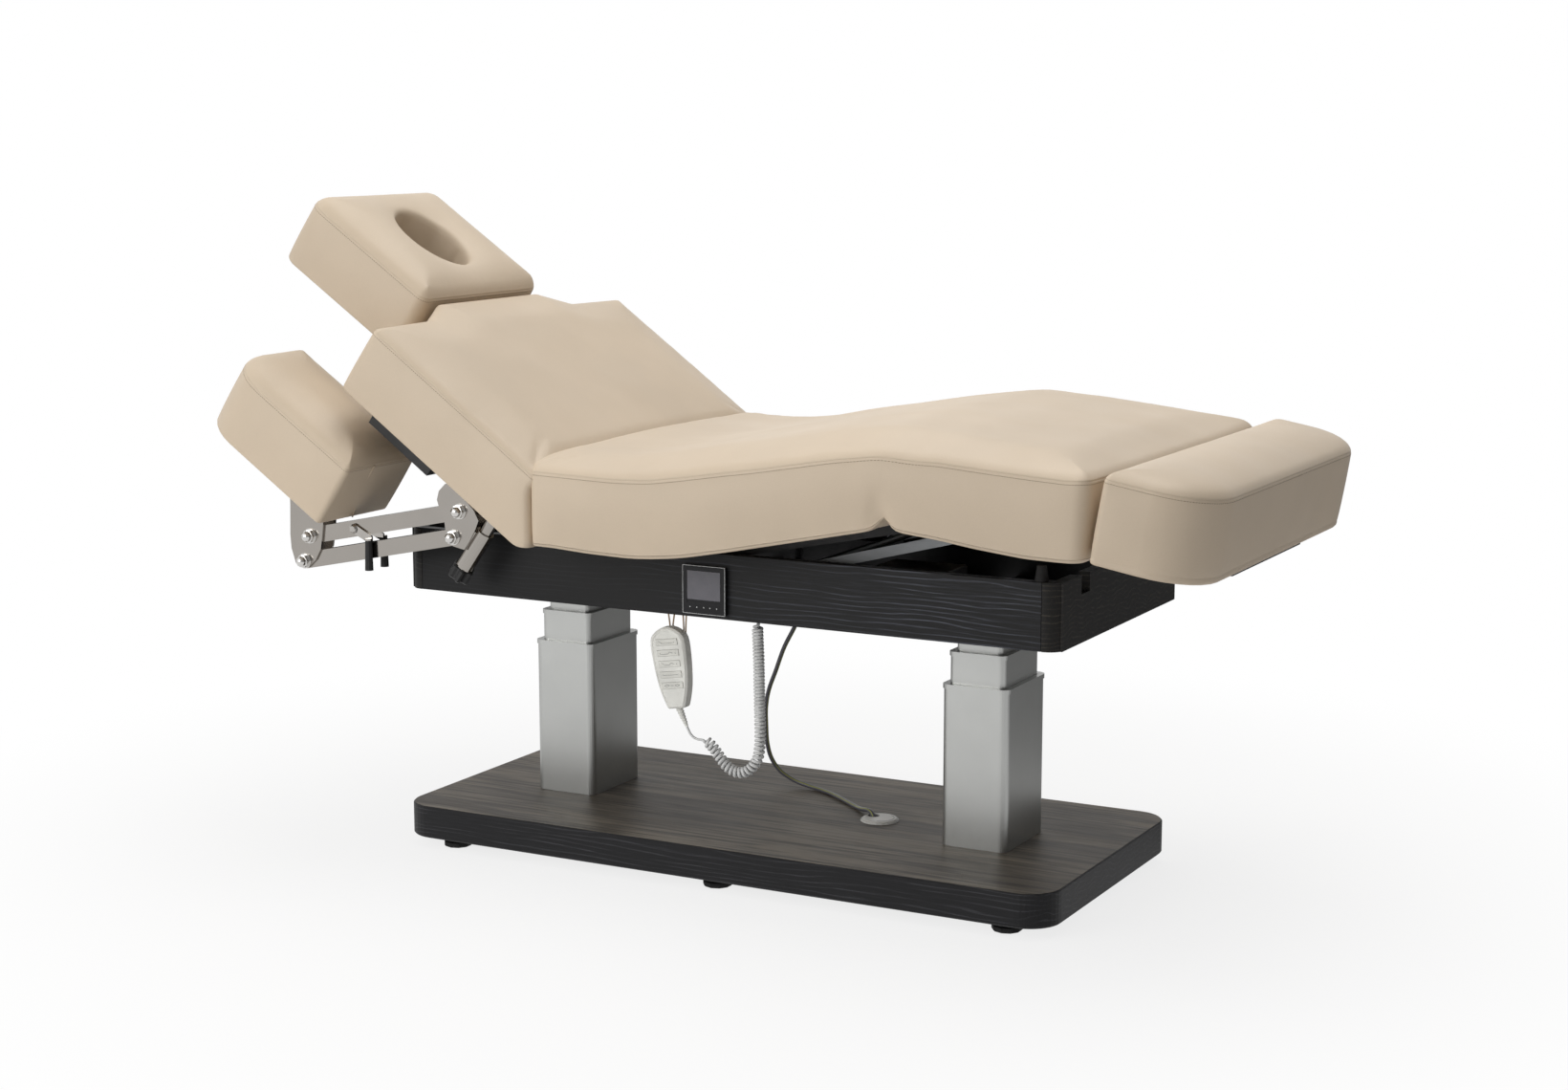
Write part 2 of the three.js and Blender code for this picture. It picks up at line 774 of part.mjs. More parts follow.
function buildChassis() {
  const headX = -cabinetHead + panelBoard + gap;
  const footX = cabinetFoot - panelBoard - gap;
  const postReach = cornerPost - panelBoard;
  const rail = block(headX + postReach, footX - postReach, railInner, railOuter, railBottom, railTop);
  const cheekTop = hingeZ + hingeDrop - deckSheet / 2 - gap;
  const cheekLine = [[backHingeX - cheekReach, railTop - overrun], [backHingeX - cheekReach, hingeZ],
    [backHingeX, cheekTop], [thighHingeX, cheekTop],
    [thighHingeX + cheekReach, hingeZ], [thighHingeX + cheekReach, railTop - overrun]];
  const cheek = sidePlate(cheekLine, cheekInner, cheekOuter);
  const pins = [backHingeX, thighHingeX].map((x) => (
    crossBar(hingePinRadius, x, hingeZ, cheekInner - hingePinLength, cheekInner + cheekSheet / 2)
  ));
  const strutPin = crossBar(pivotPin, strutX, strutZ, strutY - strutSheet, railInner + railWidth / 2);
  const strutEar = block(strutX - eyeRadius, strutX + eyeRadius, railInner, railOuter, railTop - overrun,
    strutZ + eyeRadius);
  const sides = mirroredY([rail, cheek, ...pins, strutPin, strutEar]);

  const beams = beamPlaces.map((x) => crossBeam(x, beamWidth, railBottom, beamHeight));
  const columnBeams = [-columnX, columnX].map((x) => (
    crossBeam(x, headPlateX, columnBeamBottom, columnBeamHeight)
  ));
  const endBeams = [headX + beamWidth / 4, footX - beamWidth / 4].map((x) => (
    crossBeam(x, beamWidth / 2, railBottom, railHeight / 2)
  ));
  const powerTray = crossBeam(powerX, powerLength + beamWidth, railBottom, beamHeight / 2);
  const deck = block(backHingeX + deckShort, thighHingeX - deckShort, -cheekInner - cheekSheet / 2,
    cheekInner + cheekSheet / 2, padUnder - gap - deckSheet, padUnder - gap);
  const forks = [pivotFork(backPivotX, -actuatorY, backLeverRadius),
    pivotFork(legPivotX, actuatorY, legLeverRadius)].flat();
  const glands = [coilTop, cableTop].map(([x, y]) => (
    post(glandRadius, x, y, railBottom - glandHeight, railBottom + overrun / 2, 16)
  ));
  const members = [...sides, ...beams, ...columnBeams, ...endBeams, powerTray, deck, ...forks, ...glands];
  add('lift_chassis', join(members), blackSteel);

  const powerBottom = railBottom + beamHeight / 2 + gap;
  const powerShape = roundedRectangle(powerLength / 2, powerWidth / 2, powerCorner);
  const power = bevelled(powerShape, powerBottom, powerBottom + powerHeight, powerCorner / 3, 2);
  add('power_unit', power.translate(powerX, powerY, 0), blackPlastic);
}

function crossBeam(x, width, bottom, height) {
  return block(x - width / 2, x + width / 2, -railInner - overrun / 5, railInner + overrun / 5,
    bottom, bottom + height);
}

// Two ears and a pin that hold the rear eye of an actuator
function pivotFork(x, y, drop) {
  const z = hingeZ - drop;
  const ears = [-1, 1].map((side) => {
    const middle = y + side * (eyeHalf + gap + forkSheet / 2);
    return block(x - eyeRadius, x + eyeRadius, middle - forkSheet / 2, middle + forkSheet / 2,
      railBottom + beamHeight / 2, z + eyeRadius);
  });
  return [...ears, crossBar(pivotPin, x, z, y - eyeHalf - forkSheet, y + eyeHalf + forkSheet)];
}

// Small pieces on the cabinet

function buildStops() {
  const x = cabinetFoot - stopInset;
  const y = cabinetWidth / 2 - stopSideInset;
  for (const [side, turn] of [['near', -1], ['far', 1]]) {
    const stop = post(stopRadius, 0, 0, cabinetTop + gap, cabinetTop + stopHeight, 20, stopTop);
    add(`${side}_rubber_stop`, stop, rubber).position.set(x, turn * y, 0);
  }
}

function buildControl() {
  const face = -cabinetWidth / 2 - gap;
  const z = controlMiddle();
  const front = bevelled(roundedRectangle(controlSize / 2, controlSize / 2, controlCorner), 0, controlProud,
    controlCorner / 3, 3);
  front.rotateX(Math.PI / 2).translate(0, face, z);
  const box = block(-controlBox / 2, controlBox / 2, face - overrun / 5, face + controlBoxDepth,
    z - controlBox / 2, z + controlBox / 2);
  const screenZ = z + screenRise;
  const screenFace = face - controlProud;
  const recess = block(-screenWidth / 2, screenWidth / 2, screenFace - overrun, screenFace + screenRecess,
    screenZ - screenHeight / 2, screenZ + screenHeight / 2);
  add('heat_control', cut(join([front, box]), [recess]), glossBlack);
}

// Backrest, drawn flat with its hinge at the origin and the head end towards -X

function backStations() {
  const round = padEndRound;
  const places = [
    [round * 0.14, seatHalfWidth - round / 3, 0.35], [round * 0.55, seatHalfWidth - round / 7, 0.7],
    [round * 1.8, seatHalfWidth, 1], [backShoulder / 3, seatHalfWidth, 1],
    [backShoulder * 0.65, seatHalfWidth, 1], [backShoulder - round, seatHalfWidth, 1],
    [backShoulder - round / 4, seatHalfWidth - round / 4, 0.85],
    [backShoulder, seatHalfWidth - round, 0.6], [backShoulder + round / 3, backShoulderHalf, 0.8],
    [backTab - round, backTabHalf + round / 4, 0.7], [backTab - round / 4, backTabHalf - round / 10, 0.4],
    [backTab, backTabHalf - round / 2, 0.1],
  ];
  return places.map(([along, half, fill]) => ({ x: -along, near: -half, far: half, fill }));
}

// The lower end of the back cushion follows the upright face of the seat cushion
function buildBackCushion(frame) {
  const stations = backStations().reverse();
  const lean = Math.tan(backAngle * degree);
  const cushion = solid(flatCushion(stations, backThickness, padCrown).translate(0, 0, hingeDrop));
  const foot = hingeDrop + backThickness + padCrown + overrun;
  const jointAlong = (seatJointX - gap - 0.5 * sideDraw - backHingeX) / Math.cos(backAngle * degree);
  const past = jointAlong + foot;
  const wedge = sidePlate([[jointAlong, 0], [past, 0], [past, foot], [jointAlong - foot * lean, foot]],
    -seatHalfWidth - overrun, seatHalfWidth + overrun);
  add('back_cushion', cut(cushion, [wedge]), tanVinyl, frame);
}

function squareTube(size, wall, y, x0, x1) {
  const half = size / 2;
  const inner = half - wall;
  return [block(x0, x1, y - half, y + half, -half, half),
    block(x0 - overrun, x1 - wall, y - inner, y + inner, -inner, inner)];
}

function buildBackFrame(frame) {
  const [railOut, railIn] = squareTube(backRailSize, backRailWall, backRailY, -backRailEnd, 0);
  const rails = mirroredY([railOut]);
  const bores = mirroredY([railIn]);
  const tube = crossBar(hingeTubeRadius, 0, 0, -cheekInner + gap, cheekInner - gap, 14);
  const sockets = mirroredY([crossBar(hingePinRadius + slip, 0, 0, cheekInner - hingePinLength - gap,
    cheekInner + overrun)]);
  const outrigger = block(-outriggerEnd, -outriggerStart, outriggerY - outriggerWidth / 2,
    outriggerY + outriggerWidth / 2, backRailSize / 2 - outriggerHeight, backRailSize / 2);
  const crossTop = backRailSize / 2;
  const arm = block(-outriggerEnd + overrun, -outriggerEnd + beamWidth, -outriggerY, outriggerY,
    crossTop - outriggerWidth, crossTop);
  const crossAlong = [0.3, 0.6].map((share) => share * backRailEnd);
  const crosses = crossAlong.map((along) => block(-along - beamWidth / 2, -along + beamWidth / 2,
    -backRailY, backRailY, crossTop - backRailSize * 0.8, crossTop));
  const lever = leverArms(-actuatorY, backLeverRadius, backLeverAngle);
  const framework = join([...rails, tube, ...mirroredY([outrigger]), arm, ...crosses, ...lever]);
  add('back_frame', cut(framework, [...bores, ...sockets, ...crossCutters()]), blackSteel, frame);

  function crossCutters() {
    return mirroredY([block(-outriggerEnd - overrun, -outriggerEnd + beamWidth + overrun,
      backRailY - backRailSize / 2 + backRailWall, backRailY + backRailSize / 2 - backRailWall,
      -backRailSize / 2 + backRailWall, backRailSize / 2 - backRailWall)]);
  }
}

// Two plates below a hinge tube that carry an actuator's front pin
function leverArms(y, radius, angle) {
  const tipX = radius * Math.sin(angle * degree);
  const tipZ = -radius * Math.cos(angle * degree);
  const wide = hingeTubeRadius;
  const along = new THREE.Vector2(tipX, tipZ).normalize();
  const across = new THREE.Vector2(-along.y, along.x);
  const outline = [[across.x * wide, across.y * wide], [-across.x * wide, -across.y * wide],
    [tipX - across.x * eyeRadius, tipZ - across.y * eyeRadius],
    [tipX + along.x * eyeRadius, tipZ + along.y * eyeRadius],
    [tipX + across.x * eyeRadius, tipZ + across.y * eyeRadius]];
  const offset = eyeHalf + 2 * gap + forkSheet / 2;
  const arms = [-offset, offset].map((shift) => (
    sidePlate(outline, y + shift - forkSheet / 2, y + shift + forkSheet / 2)
  ));
  return [...arms, crossBar(pivotPin, tipX, tipZ, y - offset - forkSheet / 2, y + offset + forkSheet / 2)];
}

function buildHeadrest(frame) {
  const barHalf = backRailSize / 2 - backRailWall - gap;
  const outside = backRailY + barHalf;
  const inside = headInnerY + barHalf;
  const bar = block(-headBarStep, -headBarStart, backRailY - barHalf, outside, -barHalf, barHalf);
  const innerBar = block(-headBarEnd, -headBarStep + headStrapWidth, headInnerY - barHalf, inside,
    -barHalf, barHalf);
  const cross = block(-headBarStep, -headBarStep + headStrapWidth, -outside, outside, -barHalf, barHalf);
  const undersideAt = (along) => hingeDrop + headRise + (along - backTab) * Math.tan(headTilt * degree);
  const straps = [headBarStep - headStrapWidth / 2, headBarEnd - headStrapWidth / 2].map((along) => (
    block(-along - headStrapWidth / 2, -along + headStrapWidth / 2, -inside, inside,
      barHalf - overrun, undersideAt(along + headStrapWidth / 2) - gap)
  ));
  add('headrest_bars', join([...mirroredY([bar, innerBar]), cross, ...straps]), blackSteel, frame);

  const cushionFrame = frameAt(frame, -backTab - headCushionOut, 0, undersideAt(backTab), headTilt);
  const corners = roundedEnds(headCushionRound, headCushionRound, padEndRound, padEndRound);
  const stations = flatStations(-headCushionLength, 0, headCushionHalf, corners);
  const cushion = flatCushion(stations, headCushionThickness, padCrown);
  const oval = new THREE.Shape();
  oval.absellipse(-faceHoleFromEnd, 0, faceHoleLength / 2, faceHoleWidth / 2, 0, 2 * Math.PI);
  const opening = upright(oval, -overrun, headCushionThickness + padCrown + overrun, 8);
  add('head_cushion', cut(cushion, [opening]), tanVinyl, cushionFrame);
}

// Leg rest

// One long cushion runs along the seat, the thigh and the calf, in three pieces. Its thickness
// turns smoothly past each fold, so that its top has no corner there.
function smooth(share) {
  const held = Math.min(1, Math.max(0, share));
  return held * held * (3 - 2 * held);
}

function turnShare(distance) {
  return Math.abs(distance) < kneeCreaseHalf / 4 ? 0.5 : smooth(distance / foldLength + 0.5);
}

// A ring of the cushion at a distance past the pin of the section that it lies on
function legRing(pin, angle, distance, turn, fill, half, lift) {
  const flat = angle * degree;
  const lean = turn * degree;
  const underX = pin[0] + Math.cos(flat) * distance - Math.sin(flat) * hingeDrop;
  const underZ = pin[1] + Math.sin(flat) * distance + Math.cos(flat) * hingeDrop;
  const thickness = padThickness - (1 - fill) * padCrown / 2;
  const section = paddedSection(-half, half, thickness, padCrown * fill, lift);
  return section.map(([y, height]) => (
    new THREE.Vector3(underX - Math.sin(lean) * height, y, underZ + Math.cos(lean) * height)
  ));
}

// How far the faces of a fold stand from the pin along the underside
function foldInset(turn) {
  return hingeDrop * Math.tan((turn * degree) / 2) + gap / 2;
}

function buildLegCushion() {
  const fold = [thighHingeX, hingeZ];
  const knee = kneePlace();
  const seatLength = thighHingeX - seatJointX;
  const kneeTurn = calfAngle - thighAngle;
  const crease = (distance) => (Math.abs(distance) < kneeCreaseHalf / 2 ? kneeCrease : 0);
  const endPlacesFilled = endFillShares.map(([share, fill]) => [share * padEndRound, fill]);

  const seatPlaces = [...endPlacesFilled.map(([place, fill]) => [place - seatLength, fill]),
    [-seatLength / 2, 1], [-foldLength / 2, 1], [-foldLength / 4, 1], [-foldInset(thighAngle), 1]];
  add('seat_cushion', skin(seatPlaces.map(([distance, fill]) => {
    const half = cornered(seatHalfWidth, padEndRound / 2, seatLength + distance + padEndRound / 10);
    return legRing(fold, 0, distance, thighAngle * turnShare(distance), fill, half, 0);
  })), tanVinyl);

  const thighPlaces = [foldInset(thighAngle), foldLength / 4, foldLength / 2, thighLength / 2,
    thighLength - foldLength / 2, thighLength - foldLength / 4, thighLength - kneeCreaseHalf,
    thighLength - foldInset(kneeTurn)];
  add('thigh_cushion', skin(thighPlaces.map((distance) => {
    const turn = thighAngle * turnShare(distance) + kneeTurn * turnShare(distance - thighLength);
    return legRing(fold, thighAngle, distance, turn, 1, seatHalfWidth, crease(distance - thighLength));
  })), tanVinyl);

  const calfPlaces = [[foldInset(kneeTurn), 1], [kneeCreaseHalf, 1], [foldLength / 4, 1],
    [foldLength / 2, 1], [calfLength * 0.72, 1],
    ...endPlacesFilled.map(([place, fill]) => [calfLength - place, fill]).reverse()];
  add('calf_cushion', skin(calfPlaces.map(([distance, fill]) => {
    const half = cornered(seatHalfWidth, padEndRound, calfLength - distance + padEndRound / 10);
    return legRing(knee, calfAngle, distance, thighAngle + kneeTurn * turnShare(distance), fill, half,
      crease(distance));
  })), tanVinyl);
}

// A pressed deck on its hinge tube: drawn flat, with the hinge at the origin
function deckPieces(x0, x1) {
  const top = hingeDrop - gap;
  const sheet = block(x0, x1, -deckHalfWidth, deckHalfWidth, top - deckSheet, top);
  const flange = block(x0 + deckFlange, x1, deckHalfWidth - deckSheet, deckHalfWidth, top - deckFlange, top);
  return [sheet, ...mirroredY([flange])];
}

function buildThighDeck(frame) {
  const tube = crossBar(hingeTubeRadius, 0, 0, -cheekInner + gap, cheekInner - gap, 14);
  const sockets = mirroredY([crossBar(hingePinRadius + slip, 0, 0, cheekInner - hingePinLength - gap,
    cheekInner + overrun), crossBar(kneePinRadius + slip, thighLength, 0,
    strutY - beamWidth - hingePinLength, strutY)]);
  const kneeTube = crossBar(hingeTubeRadius * 0.8, thighLength, 0, -strutY + beamWidth, strutY - beamWidth);
  const start = 1.5 * deckSheet;
  const deck = deckPieces(start, thighLength - deckFlange);
  const ribs = [-1, 1].map((side) => block(start, thighLength, side * beamWidth - deckSheet / 2,
    side * beamWidth + deckSheet / 2, -hingeTubeRadius / 2, hingeDrop - gap - deckSheet / 2));
  const lever = leverArms(actuatorY, legLeverRadius, legLeverAngle);
  const body = join([...deck, tube, kneeTube, ...ribs, ...lever]);
  add('thigh_deck', cut(body, sockets), blackSteel, frame);
}

function buildCalfDeck(frame) {
  const kneeRadius = hingeTubeRadius * 0.8;
  const ear = strutY - beamWidth + gap;
  const deck = deckPieces(deckFlange, calfLength - deckFlange);
  const sheetMiddle = hingeDrop - gap - deckSheet / 2;
  const knuckle = sidePlate([[-kneeRadius, -kneeRadius], [kneeRadius * 2, -kneeRadius],
    [deckFlange + overrun, guideTop()], [deckFlange + overrun, sheetMiddle],
    [0, sheetMiddle], [-kneeRadius, 0]], ear, ear + forkSheet);
  const pin = crossBar(kneePinRadius, 0, 0, ear - hingePinLength, ear + forkSheet / 2);
  const guide = block(guideStart, calfLength - deckFlange, notchY - guideWidth / 2, notchY + guideWidth / 2,
    guideBottom(), sheetMiddle);
  const bore = block(guideStart - overrun, calfLength, notchY - guideWidth / 2 + guideWall,
    notchY + guideWidth / 2 - guideWall, guideBottom() + guideWall, guideTop() - guideWall);
  const lugFace = strutY + strutSheet / 2 + 2 * gap;
  const lug = sidePlate([[strutLugX - eyeRadius, hingeDrop - deckSheet],
    [strutLugX - eyeRadius, -strutLugDrop], [strutLugX, -strutLugDrop - eyeRadius],
    [strutLugX + eyeRadius, -strutLugDrop], [strutLugX + eyeRadius, hingeDrop - deckSheet]],
  lugFace, lugFace + forkSheet);
  const lugPin = crossBar(pivotPin, strutLugX, -strutLugDrop, strutY - strutSheet / 2,
    strutY + strutSheet / 2 + forkSheet);
  const sides = mirroredY([knuckle, pin, guide, lug, lugPin]);
  add('calf_deck', cut(join([...deck, ...sides]), mirroredY([bore])), blackSteel, frame);
}

function guideTop() {
  return hingeDrop - gap - deckSheet;
}

function guideBottom() {
  return guideTop() - guideHeight;
}

function buildFootRest(frame) {
  const y0 = notchY - guideWidth / 2 + guideWall + gap;
  const y1 = notchY + guideWidth / 2 - guideWall - gap;
  const barBottom = guideBottom() + guideWall + gap;
  const barTop = guideTop() - guideWall - gap;
  const barEnd = calfLength + footJoint + footPlateLength;
  const bar = block(footBarStart, barEnd, y0, y1, barBottom, barTop);
  const start = calfLength + footJoint + padEndRound;
  const end = start + footPlateLength;
  const drop = (x) => Math.tan(footCushionTilt * degree) * (x - calfLength - footJoint);
  const topAt = (x) => hingeDrop - drop(x) - gap;
  const plate = sidePlate([[start, barBottom], [end, Math.min(barBottom, topAt(end) - deckSheet)],
    [end, topAt(end)], [start, topAt(start)]], -y1, y1);
  const wellStart = start + beamWidth / 2;
  const wellEnd = end - beamWidth / 2;
  const well = sidePlate([[wellStart, barBottom - overrun], [wellEnd, barBottom - overrun],
    [wellEnd, topAt(wellEnd) - deckSheet], [wellStart, topAt(wellStart) - deckSheet]],
  -y0 + forkSheet, y0 - forkSheet);
  const past = barEnd + overrun;
  const clearAbove = sidePlate([[calfLength, topAt(calfLength)], [past, topAt(past)],
    [past, 2 * hingeDrop], [calfLength, 2 * hingeDrop]], -notchY - guideWidth, notchY + guideWidth);
  add('foot_bars', cut(join([...mirroredY([bar]), plate]), [well, clearAbove]), blackSteel, frame);

  const cushionFrame = frameAt(frame, calfLength + footJoint, 0, hingeDrop, footCushionTilt);
  const corners = roundedEnds(padCorner, padCorner, footCushionRound, footCushionRound);
  const stations = flatStations(0, footCushionLength, seatHalfWidth, corners);
  add('foot_cushion', flatCushion(stations, footCushionThickness, padCrown), tanVinyl, cushionFrame);
}

// Struts and actuators

function linkBetween(x0, z0, x1, z1) {
  return { length: Math.hypot(x1 - x0, z1 - z0), angle: Math.atan2(z1 - z0, x1 - x0) / degree };
}

function rotated(x, z, angle) {
  const turn = angle * degree;
  return [x * Math.cos(turn) - z * Math.sin(turn), x * Math.sin(turn) + z * Math.cos(turn)];
}

function kneePlace() {
  const [x, z] = rotated(thighLength, 0, thighAngle);
  return [thighHingeX + x, hingeZ + z];
}

function buildStruts() {
  const [kneeX, kneeZ] = kneePlace();
  const [lugX, lugZ] = rotated(strutLugX, -strutLugDrop, calfAngle);
  const { length, angle } = linkBetween(strutX, strutZ, kneeX + lugX, kneeZ + lugZ);
  const frame = frameAt(table, strutX, 0, strutZ, -angle);
  const inner = strutY - strutSheet / 2;
  const outer = strutY + strutSheet / 2;
  const bar = block(0, length, inner, outer, -strutWidth / 2, strutWidth / 2);
  const ends = [0, length].map((x) => crossBar(strutWidth / 2, x, 0, inner, outer));
  const holes = [[0, pivotPin + slip], [length, pivotPin + 3 * slip]].map(([x, radius]) => (
    crossBar(radius, x, 0, strutY - strutSheet, strutY + strutSheet)
  ));
  const tie = crossBar(strutTieRadius, strutTieAlong, 0, -strutY, strutY);
  add('calf_struts', join([...mirroredY([cut(join([bar, ...ends]), holes)]), tie]), zincSteel, frame);
}

// An actuator between a fork on the chassis and the lever of a hinge tube. The hole in the rod's
// eye is wider than the lever's pin, which swings in an arc.
function buildActuator(name, y, from, to, sizes) {
  const { length, angle } = linkBetween(...from, ...to);
  const frame = frameAt(table, from[0], y, from[1], -angle);
  const eye = crossBar(eyeRadius, 0, 0, -eyeHalf, eyeHalf);
  const neck = block(0, eyeRadius + actuatorRadius, -eyeHalf, eyeHalf, -eyeHalf, eyeHalf);
  const barrel = lengthBar(actuatorRadius, 0, 0, eyeRadius + actuatorRadius / 2, sizes.body);
  const motor = post(motorRadius, eyeRadius + actuatorRadius + motorRadius / 2, 0, 0, motorLength);
  const eyeBore = crossBar(pivotPin + slip, 0, 0, -eyeHalf - overrun, eyeHalf + overrun);
  const rodBore = lengthBar(rodRadius + slip, 0, 0, length - sizes.rod - rodSpace, sizes.body + overrun);
  add(`${name}_actuator`, cut(join([eye, neck, barrel, motor]), [eyeBore, rodBore]), blackPlastic, frame);

  const rod = lengthBar(rodRadius, 0, 0, length - sizes.rod, length);
  const tip = crossBar(sizes.eye, length, 0, -eyeHalf, eyeHalf);
  const tipBore = crossBar(sizes.hole, length, 0, -eyeHalf - overrun, eyeHalf + overrun);
  add(`${name}_actuator_rod`, cut(join([rod, tip]), [tipBore]), chrome, frame);
}

function leverTip(hingeX, radius, angle) {
  return [hingeX + radius * Math.sin(angle * degree), hingeZ - radius * Math.cos(angle * degree)];
}

function buildActuators() {
  const [backX, backZ] = leverTip(backHingeX, backLeverRadius, backLeverAngle - backAngle);
  buildActuator('back', -actuatorY, [backPivotX, hingeZ - backLeverRadius], [backX, backZ + backEyeLift],
    { body: backActuatorBody, rod: backRodLength, eye: backEyeRadius, hole: backEyeHole });
  buildActuator('leg', actuatorY, [legPivotX, hingeZ - legLeverRadius],
    leverTip(thighHingeX, legLeverRadius, legLeverAngle + thighAngle),
    { body: legActuatorBody, rod: legRodLength, eye: eyeRadius, hole: legEyeHole });
}

// Arm rest, drawn about the upper bolt by the post, with the axes of the stored pose

function armPoints(shares, size) {
  return shares.map(([x, z]) => [x * size, z * size]);
}

const armPlateShares = [[-0.06, 0.47], [-0.26, 0.42], [-0.38, 0.3], [-0.42, 0.16], [-0.38, 0.03],
  [-0.3, -0.08], [-0.27, -0.3], [-0.26, -0.46], [-0.13, -0.56], [0.08, -0.6], [0.18, -0.46],
  [0.3, -0.26], [0.36, -0.12], [0.27, 0.04], [0.12, 0.18]];
const armBracketShares = [[0.15, 0.0], [0.13, -0.12], [0.06, -0.24], [-0.03, -0.32], [-0.11, -0.33],
  [-0.19, -0.29], [-0.24, -0.14], [-0.25, 0.0], [-0.24, 0.3], [-0.245, 0.74], [0.13, 0.46], [0.17, 0.16]];

function boltVector() {
  return [-boltSpacing * Math.sin(boltLean * degree), -boltSpacing * Math.cos(boltLean * degree)];
}

function linkVector() {
  return [-linkLength * Math.cos(linkDrop * degree), -linkLength * Math.sin(linkDrop * degree)];
}

// A bolt across the arm with a domed nut at each end
function armBolt(x, z) {
  const reach = linkHalf + armPlateGap + armPlateSheet;
  const shank = crossBar(boltRadius, x, z, -reach - boltHeadHeight / 2, reach + boltHeadHeight / 2, 8);
  const dome = [-1, 1].map((side) => {
    const head = new THREE.CylinderGeometry(boltHeadRadius * 0.6, boltHeadRadius, boltHeadHeight, 8);
    if (side < 0) head.rotateX(Math.PI);
    return head.translate(x, side * (reach + boltHeadHeight / 2 - overrun / 50), z);
  });
  return [shank, ...dome];
}

function twinPlates(outline) {
  const inner = linkHalf + armPlateGap;
  return mirroredY([sidePlate(outline, inner, inner + armPlateSheet)]);
}

// An open channel from one bolt to the other
function linkChannel(x, z, openUp) {
  const [dx, dz] = linkVector();
  const { length, angle } = linkBetween(0, 0, dx, dz);
  const half = linkHeight / 2;
  const outside = [block(0, length, -linkHalf, linkHalf, -half, half),
    ...[0, length].map((along) => crossBar(half, along, 0, -linkHalf, linkHalf, 16))];
  const floor = openUp ? -half - overrun : -half + linkWall;
  const ceiling = openUp ? half - linkWall : half + overrun;
  const hollow = block(-half - overrun, length + half + overrun, -linkHalf + linkWall, linkHalf - linkWall,
    floor, ceiling);
  const holes = [0, length].map((along) => crossBar(boltRadius + slip, along, 0, -linkHalf - overrun,
    linkHalf + overrun, 10));
  const leverHole = openUp ? [] : [crossBar(boltRadius + slip, length - leverAlong, 0, -linkHalf - overrun,
    linkHalf + overrun, 10)];
  const channel = cut(join(outside), [hollow, ...holes, ...leverHole]);
  return channel.rotate([0, -angle, 0]).translate([x, 0, z]);
}

function buildArm(frame) {
  const [lowX, lowZ] = boltVector();
  const [linkX, linkZ] = linkVector();
  const tilt = backAngle;
  const boltX = -postAlong - boltFromPost;
  const boltZ = hingeDrop - boltBelowPad;
  const socket = join([post(socketFlange, 0, 0, -socketSheet - gap, -gap, 20),
    post(socketRadius, 0, 0, -postTop - hingeDrop + gap, -socketSheet),
    post(postPinRadius, 0, 0, -postTop - postLength - hingeDrop - knobHeight / 3, -socketSheet, 20)]);
  const socketFrame = frameAt(frame, -postAlong, 0, hingeDrop, 0);
  socketFrame.position.y = armY;
  add('arm_socket', socket, chrome, socketFrame);

  const armFrame = frameAt(frame, boltX, 0, boltZ, -tilt);
  armFrame.position.y = armY;
  const sleeveTop = -postTop - boltZ;
  const sleeve = cut(post(postRadius, 0, 0, sleeveTop - postLength, sleeveTop, 24),
    [post(postPinRadius + slip, 0, 0, sleeveTop - postLength - overrun, sleeveTop + overrun, 20)]);
  const sleeveSet = sleeve.translate([boltFromPost, 0, 0]).rotate([0, tilt, 0]);
  const plates = twinPlates(armPoints(armPlateShares, armPlateSize));
  const web = block(boltFromPost - webReach, boltFromPost - postRadius / 2,
    -linkHalf - armPlateGap - armPlateSheet / 2, linkHalf + armPlateGap + armPlateSheet / 2,
    -boltSpacing + overrun, -2 * overrun);
  const webSet = solid(web).rotate([0, tilt, 0]);
  const bolts = [...armBolt(0, 0), ...armBolt(lowX, lowZ)];
  const pinHole = solid(post(postPinRadius + slip, 0, 0, -3 * postLength, 3 * postLength, 20))
    .translate([boltFromPost, 0, 0]).rotate([0, tilt, 0]);
  add('arm_post', cut(join([sleeveSet, ...plates, webSet, ...bolts]), [pinHole]), chrome, armFrame);

  add('upper_link', linkChannel(0, 0, false), chrome, armFrame);
  add('lower_link', linkChannel(lowX, lowZ, true), chrome, armFrame);

  const bracketPlates = twinPlates(armPoints(armBracketShares, armBracketSize));
  const flangeEnd = -armFlangeHalf / 5;
  const flange = block(flangeEnd - armFlangeLength, flangeEnd, -armFlangeHalf, armFlangeHalf,
    -armPlateSheet - gap, -gap);
  const flangeSet = solid(flange).rotate([0, armCushionSlope, 0]).translate([armCushionX, 0, armCushionZ]);
  const bracket = join([...bracketPlates, flangeSet, ...armBolt(0, 0), ...armBolt(lowX, lowZ)]);
  const abovePad = block(-2 * armFlangeLength, armFlangeLength, -armFlangeLength, armFlangeLength,
    -gap, armFlangeLength);
  const trim = solid(abovePad).rotate([0, armCushionSlope, 0]).translate([armCushionX, 0, armCushionZ]);
  add('arm_bracket', cut(bracket, [trim]).translate([linkX, 0, linkZ]), chrome, armFrame);

  const cushionFrame = frameAt(armFrame, linkX + armCushionX, 0, linkZ + armCushionZ, armCushionSlope);
  const corners = roundedEnds(armCushionRound, armCushionCorner, padCorner, padCorner);
  const stations = flatStations(-armCushionLength, 0, armCushionHalf, corners);
  add('arm_cushion', flatCushion(stations, armCushionThickness, padCrown * 0.7), tanVinyl, cushionFrame);

  buildLever(armFrame, linkX, linkZ);
  buildKnob(socketFrame);
}

